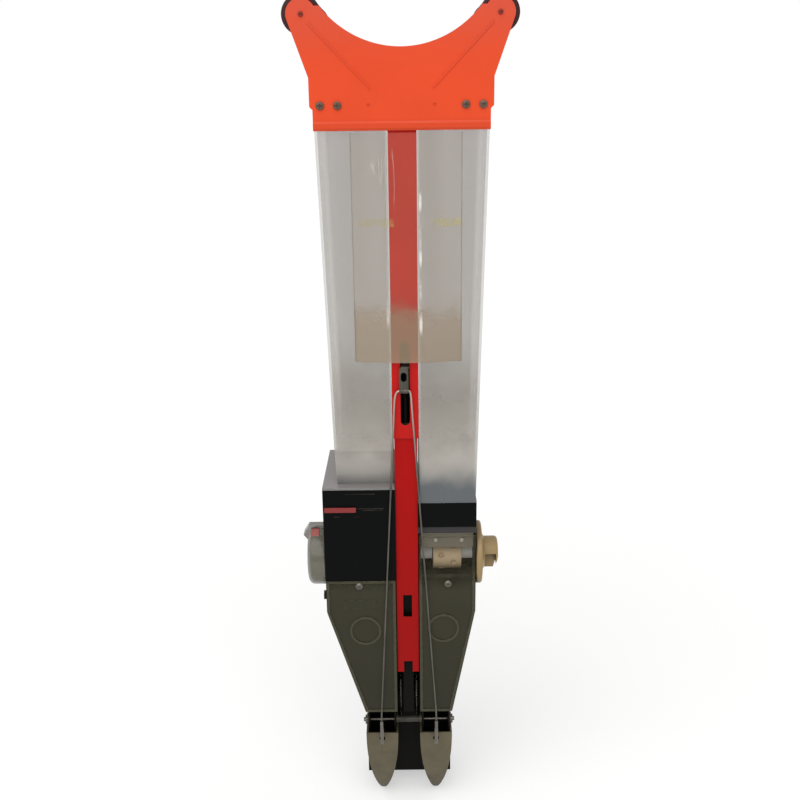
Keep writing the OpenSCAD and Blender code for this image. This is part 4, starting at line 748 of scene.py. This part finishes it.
class PLANTER_OT_film(Step, bpy.types.Operator):
    """A rippled clear film over the hoppers' fronts, with a plain band and two tapes"""
    bl_idname = "planter.film"
    bl_label = "Film"

    # Painted glints along the folds beside the spine: place across, lower and upper end in millimetres, and
    # strength
    folds = ((17.4, 590, 745, 1.0), (-16.8, 595, 675, 0.5))
    # Half a fold glint's width where it ends and where it is full in metres, and its ends' fading in
    # millimetres
    fold_out, fold_in, fold_end = 0.0022, 0.0006, 12
    painted_glint_tone = (0.98, 0.96, 0.93)
    # Ripples: waves per millimetre across and up, place in the noise, and share
    ripples = ((0.06, 0.012, 0, 0.9), (0.15, 0.03, 4, 0.35))
    # Strip along each side that is stuck down, room left before and behind, tape's lift, in millimetres
    stuck, spare, tape_out = 4.0, 0.2, 0.12
    # Tapes: side, where they start and end in from that edge in millimetres, and strength
    tapes = (("left_tape", -1, 7, 43, 0.35), ("right_tape", 1, 29, 1, 0.6))
    columns, rows = 72, 96

    def film_finish(self, low, high):
        """Clear film: warm, with painted glints along its folds and creases, darker at its side edges, with
        a milky band at its foot.
        """
        film = Finish("clear film", colours().film, 0.16)
        tree = film.tree
        top = (low.z + sizes().band_high / MM) * MM
        band = below(tree, top - 0.014, top + 0.022, 0.05)
        film.mix(band, colours().band, 0.4)
        place = own_place(tree)
        folds = []
        for x, z0, z1, share in self.folds:
            aside = sums(tree, "ABSOLUTE", sums(tree, "SUBTRACT", place[0], x * MM))
            near = between(tree, aside, self.fold_out, self.fold_in)
            low_end = between(tree, place[2], z0 * MM, (z0 + self.fold_end) * MM)
            high_end = between(tree, place[2], z1 * MM, (z1 - self.fold_end) * MM)
            folds.append(product(tree, near, low_end, high_end, share))
        # Painted glints: white along the folds beside the spine and on fine creases.
        broken = between(tree, stretched_noise(tree, (0.6, 1, 1), 42, 3), 0.34, 0.7)
        glint = product(tree, sums(tree, "MAXIMUM", *folds), broken)
        waves = sums(tree, "SUBTRACT", stretched_noise(tree, (1, 1, 0.1), 60, 2, 0.2), 0.5)
        lines = between(tree, sums(tree, "ABSOLUTE", waves), 0.016, 0.003)
        sparse = between(tree, stretched_noise(tree, (1, 1, 0.6), 34, 2), 0.58, 0.72)
        painted_glint = sums(tree, "MAXIMUM", glint, product(tree, lines, sparse, 0.5))
        film.mix(painted_glint, self.painted_glint_tone, 0.3)
        off = sums(tree, "ABSOLUTE", sums(tree, "SUBTRACT", place[0], (low.x + high.x) / 2 * MM))
        half_w = (high.x - low.x) / 2 * MM
        rim = between(tree, off, half_w - 0.0018, half_w - 0.0002)
        film.mix(rim, shaded(colours().film, 0.75))
        film.see_through(0.18, (painted_glint, 0.6), (rim, 0.4), (band, 0.5))
        return film.done()

    def tape_finish(self, name, strength):
        """Yellowed tape that has gone patchy."""
        tape = Finish(name.replace("_", " "), colours().tape, 0.35).mottle(60, 0.15)
        patches = between(tape.tree, stretched_noise(tape.tree, (1, 1, 1), 130, 3), 0.35, 0.65)
        tape.see_through(strength * 0.3, (patches, strength * 0.7))
        return tape.done()

    def build(self):
        low, high = box_mm("label_film")
        middle = (low.x + high.x) / 2
        half_w = (high.x - low.x) / 2
        rise = high.y - low.y - 2 * self.spare

        def face(x, z):
            """The film's front at a place on the hoppers' fronts."""
            u = min(1, abs(x - middle) / (half_w - self.stuck))
            loose = (1 - u) ** 0.5 * sizes().film_ripple / MM
            fold = sum(noise.noise(Vector((x * across, at, z * up))) * share
                       for across, up, at, share in self.ripples)
            return high.y - self.spare - rise * (1 - u * u) + loose * max(-0.2, min(1, fold)) * 0.6

        def strip(name, x0, x1, z0, z1, out, columns, rows):
            """A sheet that follows the film's front."""
            points, faces = [], []
            for r in range(rows + 1):
                z = z0 + (z1 - z0) * r / rows
                for c in range(columns + 1):
                    x = x0 + (x1 - x0) * c / columns
                    points.append((x, face(x, z) - out, z))
            for r in range(rows):
                for c in range(columns):
                    a = r * (columns + 1) + c
                    faces.append((a, a + 1, a + columns + 2, a + columns + 1))
            return new_mesh(name, points, faces), points

        sheet, points = strip(
            "clear_film", middle - half_w, middle + half_w, low.z, high.z, 0, self.columns, self.rows)
        stands_for(sheet, "label_film", "frame", self.film_finish(low, high))
        level = high.z - sizes().tape_drop / MM
        for name, side, start, end, strength in self.tapes:
            x0, x1 = middle + side * (half_w - start), middle + side * (half_w - end)
            top = level + sizes().tape_high / MM
            piece, _ = strip(name, x0, x1, level, top, self.tape_out, 24, 4)
            piece.data.materials.append(self.tape_finish(name, strength))
            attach(piece, "frame")


class PLANTER_OT_spine(Step, bpy.types.Operator):
    """Finishes the red spine, its rivets and rod guides"""
    bl_idname = "planter.spine"
    bl_label = "Spine"

    darker = (0.2, 0.6, 0.05)
    worn_tone = (0.45, 0.3, 0.28)

    def build(self):
        for name, colour, nodes in (
                ("red enamel", colours().sleeve, ["spine_sleeve"]),
                ("crimson enamel", colours().tube, ["spine_tube", "spine_rivets"])):
            enamel = Finish(name, colour, 0.42, Specular_IOR_Level=0.1).mottle(16, 0.06)
            enamel.mix(below(enamel.tree, *self.darker), shaded(colour, 0.78), share=0.7)
            # Painted shade in corners and joints; edges worn bare.
            enamel.painted_shade(0.004, 0.5).edge_wear_and_light(0.0008, self.worn_tone, 0.3, 0.5).dust(0.15).scuffs(200, 0.18)
            paint(enamel.grain(600, 0.00005).done(), *nodes, edge=0.0006)
        guide = moulded("guide plastic", colours().housing, 0.5, Specular_IOR_Level=0.25).done()
        paint(guide, "upper_guide", "lower_guide", edge=0.0004)


class PLANTER_OT_housings(Step, bpy.types.Operator):
    """Finishes the black housings, front panel and slide gate"""
    bl_idname = "planter.housings"
    bl_label = "Housings"

    # How far the ledge under the seed housing's strip lies in front of the middle, and how far from there
    # its lighter grey ends and is full, in metres
    ledge_out, dust_end, dust_full = 0.0605, 0.0003, 0.0001

    def build(self):
        black = moulded("black housing plastic", colours().housing, 0.42, dust=0.45, Specular_IOR_Level=0.06)
        depth = own_place(black.tree)[1]
        off = sums(black.tree, "ABSOLUTE", sums(black.tree, "ADD", depth, self.ledge_out))
        black.mix(between(black.tree, off, self.dust_end, self.dust_full), colours().ledge)
        paint(black.done(), "left_housing", "right_housing", "left_panel", edge=sizes().edge)
        red = moulded("red gate plastic", colours().gate, 0.4).done()
        paint(red, "feed_gate", edge=0.0003)


class PLANTER_OT_covers(Step, bpy.types.Operator):
    """Finishes the smoky chute covers"""
    bl_idname = "planter.covers"
    bl_label = "Chute covers"

    clears, darker = (0.285, 0.325, 0.02), (0.15, 0.28, 0.04)
    # Where the raised rim and rings begin and are full, along Y in metres
    rim_from, rim_full = -0.0627, -0.0631

    def build(self):
        plain = colours().cover
        smoky = Finish("smoky cover plastic", plain, 0.24, Specular_IOR_Level=0.12).mottle(18, 0.1)
        tree = smoky.tree
        fade = above(tree, *self.clears)
        smoky.mix(fade, shaded(plain, 1.35), share=0.5)
        smoky.mix(below(tree, *self.darker), shaded(plain, 0.84), share=0.6)
        # Painted highlights: the raised rim and rings and the edges lighter and more opaque.
        raised = between(tree, own_place(tree)[1], self.rim_from, self.rim_full)
        smoky.mix(raised, shaded(plain, 1.4, 0.04), 0.35, share=0.4)
        edge = use(tree, "Edge Wear And Light", Width=0.0016, Amount=1.0)
        smoky.mix(edge, shaded(plain, 1.5, 0.08), 0.35, share=0.5)
        smoky.see_through(1.05, (fade, -0.88), (raised, 0.2), (edge, 0.3))
        paint(smoky.scuffs(180, 0.2).done(), "left_cover", "right_cover")


class PLANTER_OT_metering(Step, bpy.types.Operator):
    """Finishes the rollers, pinion, bushes and funnels, and adds screws to the seed funnel's plate"""
    bl_idname = "planter.metering"
    bl_label = "Metering"

    # Screws on the seed funnel's plate, in millimetres from the funnel's lowest corner
    plate_screws = ((16.8, 9.0), (46.1, 9.0))
    head_across, head_high, shank_in, shank = 4.4, 1.2, 0.8, 1.0

    def screw_plate(self):
        """Two small crossed screws on the front of the seed funnel."""
        corner = box_mm("seed_funnel")[0]
        half = self.head_across / 2
        boxes = []
        for x, z in self.plate_screws:
            middle = corner + Vector((x, 0, z))
            boxes.append((middle - Vector((half, self.head_high, half)),
                          middle + Vector((half, self.shank_in, half))))
        piece = screw_mesh("funnel_plate_screws", boxes, self.head_high, self.shank)
        piece.data.materials.append(metal("bright plate screws", colours().nylon, 0.4).done())
        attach(piece, "frame")

    def build(self):
        self.screw_plate()
        paint(moulded("cream roller plastic", colours().cream, 0.5).done(), "seed_roller", "fert_roller")
        nylon = moulded("white nylon", colours().nylon, 0.5, painted_shade=(0.002, 0.2, 0.7))
        nylon.glow(linear(colours().nylon), 0.15)
        paint(nylon.done(), "shaft_bushes", "drive_pinion")
        paint(moulded("beige-grey funnel", colours().funnel, 0.55).done(), "fert_funnel", edge=0.0004)
        seed = moulded("warm grey funnel", colours().seed_funnel, 0.55, painted_shade=(0.003, 0.3, 0.6)).done()
        paint(seed, "seed_funnel", edge=0.0004)


class PLANTER_OT_knobs(Step, bpy.types.Operator):
    """Finishes the seed knob and the fertiliser dial"""
    bl_idname = "planter.knobs"
    bl_label = "Knob and dial"

    dial_edge = (0.7, 0.69, 0.68)

    def build(self):
        # Deep painted shade in the knob's pocket and corners.
        knob = moulded("yellow knob plastic", colours().knob, 0.36, painted_shade=(0.011, 0.8, 0.4)).done()
        paint(knob, "seed_knob", edge=0.0004)
        dial = Finish("smoky dial plastic", colours().dial, 0.22).mottle(40, 0.1).scuffs(200, 0.2)
        dial.edge_wear_and_light(0.0012, self.dial_edge, 0.8)
        dial.see_through(0.68)
        paint(dial.done(), "fert_dial", edge=0.0004)
        paint(moulded("faded red insert", colours().pointer, 0.4).done(), "dial_pointer", edge=0.0003)


class PLANTER_OT_duckbills(Step, bpy.types.Operator):
    """Finishes the jaws, holders, foot plate, push rod and rod spacer"""
    bl_idname = "planter.duckbills"
    bl_label = "Duckbills"

    # Heights of the painted shade that darkens the jaws toward their tips
    lower_shade = (0.0, 0.05, 0.04)
    bare_edge = (0.6, 0.57, 0.5)

    def build(self):
        steel = Finish("dull jaw steel", colours().jaw, 0.5, Metallic=0.55).mottle(45, 0.16)
        # Painted shade: darker toward the tips, and rougher there.
        steel.mix(below(steel.tree, *self.lower_shade), shaded(colours().jaw, 0.7), 0.7, share=0.5)
        steel.edge_wear_and_light(0.0008, self.bare_edge, 0.8, 0.35).scuffs(260, 0.2).grain(900, 0.0001)
        paint(steel.done(), "left_jaw", "right_jaw")
        black = moulded("black painted steel", colours().paint, 0.45, Specular_IOR_Level=0.08).done()
        paint(black, "left_holder", "right_holder", "holder_rivets", "foot_plate", "push_rod", edge=0.0004)
        paint(moulded("olive spacer", colours().spacer, 0.5).done(), "rod_spacer")


class PLANTER_OT_fasteners(Step, bpy.types.Operator):
    """Finishes the small fasteners, lug, wire and links"""
    bl_idname = "planter.fasteners"
    bl_label = "Fasteners and wire"

    bright = (0.42, 0.56, 0.04)

    def build(self):
        zinc = metal("zinc plate", colours().zinc, 0.38).done()
        paint(zinc, "yoke_nuts", "lid_pins", "spine_screws", "hinge_rod", "rod_clips", "metering_shaft",
              "lug_nut", "pull_links")
        paint(metal("dull lug zinc", colours().lug, 0.5).done(), "wire_lug")
        crossed_screws("crossed_cover_screws", "cover_screws", "frame", zinc, head_high=2.4, shank=2.0)
        crossed_screws("crossed_bridge_screws", "bridge_screws", "frame", zinc, head_high=2.0, shank=1.5)
        crossed_screws("crossed_foot_screws", "foot_screws", "plunger", zinc, head_high=2.5, shank=2.0)
        black = moulded("blacked bolts", colours().paint, 0.4, Specular_IOR_Level=0.2).done()
        paint(black, "housing_bolts", "housing_nuts")
        wire = metal("drawn wire", colours().wire, 0.4)
        paint(wire.mix(above(wire.tree, *self.bright), colours().bright_wire).done(), "pull_wire")


class PLANTER_OT_springs(Step, bpy.types.Operator):
    """Wound springs in place of the carried ones"""
    bl_idname = "planter.springs"
    bl_label = "Springs"

    # A jaw spring's end loops, its coil's ends below the post, and how far back it lies, in millimetres
    loop, coil_from, coil_to, back = 2.3, 6.0, 28.8, 0.15
    # Where a leg leaves the coil's middle line and where it is half-way out, in millimetres from the coil
    leg_turn, leg_off = 3.5, 1.6
    # A loop's angle, and where the lower and the upper one begin, in degrees
    loop_turn, lower_from, upper_from = 290, -200, 270
    # Pieces of a loop, of a jaw spring's turn and of a return spring's turn
    loop_steps, jaw_steps, return_steps = 24, 16, 24
    # Rise of the return spring's closed end turns, in wire diameters
    dead_rise = 1.05
    # Two distances along a leg, from the coil and from the stub
    bend_from, bend_to = 4.0, 3.0

    def build(self):
        steel = metal("spring wire", colours().spring, 0.35).done()
        wire = sizes().jaw_wire / MM
        for side in ("left", "right"):
            node = side + "_jaw_spring"
            low, high = box_mm(node)
            x = (low.x + high.x) / 2
            loop = self.loop
            coil = (high.x - low.x - wire) / 2
            y = (low.y + high.y) / 2 + self.back
            post = high.z - loop - wire / 2
            stub = low.z + loop + wire / 2
            top, bottom = post - self.coil_from, post - self.coil_to
            turned = [self.loop_turn * i / self.loop_steps for i in range(self.loop_steps + 1)]
            path = [(x, y + loop * math.cos(a), stub + loop * math.sin(a))
                    for a in (math.radians(self.lower_from + part) for part in turned)]
            path += [(x, y, bottom - self.leg_turn), (x, y + coil * 0.5, bottom - self.leg_off)]
            steps = self.jaw_steps * sizes().jaw_turns
            path += [(x + coil * math.sin(a), y + coil * math.cos(a), bottom + (top - bottom) * i / steps)
                     for i, a in ((i, 2 * math.pi * i / self.jaw_steps) for i in range(steps + 1))]
            path += [(x, y + coil * 0.5, top + self.leg_off)]
            path += [(x, y + loop * math.cos(a), post + loop * math.sin(a))
                     for a in (math.radians(self.upper_from - part) for part in turned)]
            spring = swept(side + "_wound_spring", path, wire)
            stands_for(spring, node, None, steel)
            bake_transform(spring)
        low, high = box_mm("return_spring")
        wire = sizes().return_wire / MM
        middle = Vector(((low.x + high.x) / 2, (low.y + high.y) / 2, 0))
        radius = (high.x - low.x - wire) / 2
        steps = self.return_steps * sizes().return_turns
        bottom, top = low.z + wire / 2, high.z - wire / 2
        dead = 1.0 / sizes().return_turns
        lift = wire * self.dead_rise
        path = []
        for i in range(steps + 1):
            t = i / steps
            climb = min(1, max(0, (t - dead) / (1 - 2 * dead)))
            rise = bottom + lift * min(1, t / dead) + lift * max(0, (t - 1 + dead) / dead)
            z = rise + (top - bottom - 2 * lift) * climb
            a = 2 * math.pi * i / self.return_steps
            path.append((middle.x + radius * math.cos(a), middle.y + radius * math.sin(a), z))
        spring = swept("wound_return_spring", path, wire)
        stands_for(spring, "return_spring", None, steel)
        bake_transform(spring)


class PLANTER_OT_stage(Step, bpy.types.Operator):
    """Pale floor, soft light and the camera"""
    bl_idname = "planter.stage"
    bl_label = "Stage"

    # Half the floor's width in millimetres; the sun's spread and its turn about X and Y in degrees
    floor_half, sun_spread, sun_turn = 60000, 70, (38, -14, 0)
    # The camera's sensor in millimetres and farthest sight in metres, and see-through layers in a line
    sensor, far, layers = 36, 200, 32

    def build(self):
        scene = bpy.context.scene
        values = scene.planter_stage
        corners = ((-1, -1, 0), (1, -1, 0), (1, 1, 0), (-1, 1, 0))
        floor = new_mesh("floor", [Vector(c) * self.floor_half for c in corners], [(0, 1, 2, 3)], False)
        pale = Finish("pale floor", values.floor, 0.9, Specular_IOR_Level=0.0)
        pale.colour = (*(c * (1 - values.glow) for c in straight(values.floor)), 1)
        pale.glow((1, 1, 1, 1), values.glow)
        floor.data.materials.append(pale.mottle(3, 0.01).done())
        world = bpy.data.worlds.new("soft room")
        scene.world = world
        world.use_nodes = True
        tree = world.node_tree
        ray = add(tree, "LightPath").outputs["Is Camera Ray"]
        background = tree.nodes["Background"]
        background.inputs["Color"].default_value = (1, 1, 1, 1)
        strength = sums(tree, "MULTIPLY_ADD", ray, 1 - values.daylight, values.daylight)
        tree.links.new(strength, background.inputs["Strength"])
        sun = bpy.data.lights.new("soft sun", "SUN")
        sun.energy = values.sun
        sun.angle = math.radians(self.sun_spread)
        lamp = bpy.data.objects.new("soft sun", sun)
        lamp.rotation_euler = [math.radians(a) for a in self.sun_turn]
        scene.collection.objects.link(lamp)
        data = bpy.data.cameras.new("camera")
        data.sensor_width = self.sensor
        data.lens = self.sensor * values.focal
        data.shift_x = values.shift
        data.clip_end = self.far
        camera = bpy.data.objects.new("camera", data)
        camera.matrix_world = (
            Matrix.Translation((0, -values.distance, values.height))
            @ Matrix.Rotation(math.radians(90) - values.pitch, 4, "X")
            @ Matrix.Rotation(values.roll, 4, "Z"))
        scene.collection.objects.link(camera)
        scene.camera = camera
        scene.view_settings.view_transform = "Standard"
        scene.cycles.transparent_max_bounces = self.layers


STEPS = (
    PLANTER_OT_effects, PLANTER_OT_yoke, PLANTER_OT_grips, PLANTER_OT_hoppers, PLANTER_OT_film,
    PLANTER_OT_spine, PLANTER_OT_housings, PLANTER_OT_covers, PLANTER_OT_metering, PLANTER_OT_knobs,
    PLANTER_OT_duckbills, PLANTER_OT_fasteners, PLANTER_OT_springs, PLANTER_OT_stage)
GROUPS = {"planter_colours": PLANTER_PG_colours, "planter_sizes": PLANTER_PG_sizes,
          "planter_stage": PLANTER_PG_stage}


class PLANTER_PT_panel(bpy.types.Panel):
    """The planter's steps and values in the sidebar"""
    bl_idname = "PLANTER_PT_panel"
    bl_label = "Hand Seed Planter"
    bl_space_type = "VIEW_3D"
    bl_region_type = "UI"
    bl_category = "Planter"

    def draw(self, context):
        for step in STEPS:
            self.layout.operator(step.bl_idname)
        for key, kind in GROUPS.items():
            box = self.layout.box()
            for value in kind.__annotations__:
                box.prop(getattr(context.scene, key), value)


KINDS = (*GROUPS.values(), *STEPS, PLANTER_PT_panel)


def register():
    for kind in KINDS:
        bpy.utils.register_class(kind)
    for key, kind in GROUPS.items():
        setattr(bpy.types.Scene, key, PointerProperty(type=kind))


def unregister():
    for key in GROUPS:
        delattr(bpy.types.Scene, key)
    for kind in reversed(KINDS):
        bpy.utils.unregister_class(kind)


def main():
    register()
    for step in STEPS:
        family, name = step.bl_idname.split(".")
        getattr(getattr(bpy.ops, family), name)()


if __name__ == "__main__":
    main()
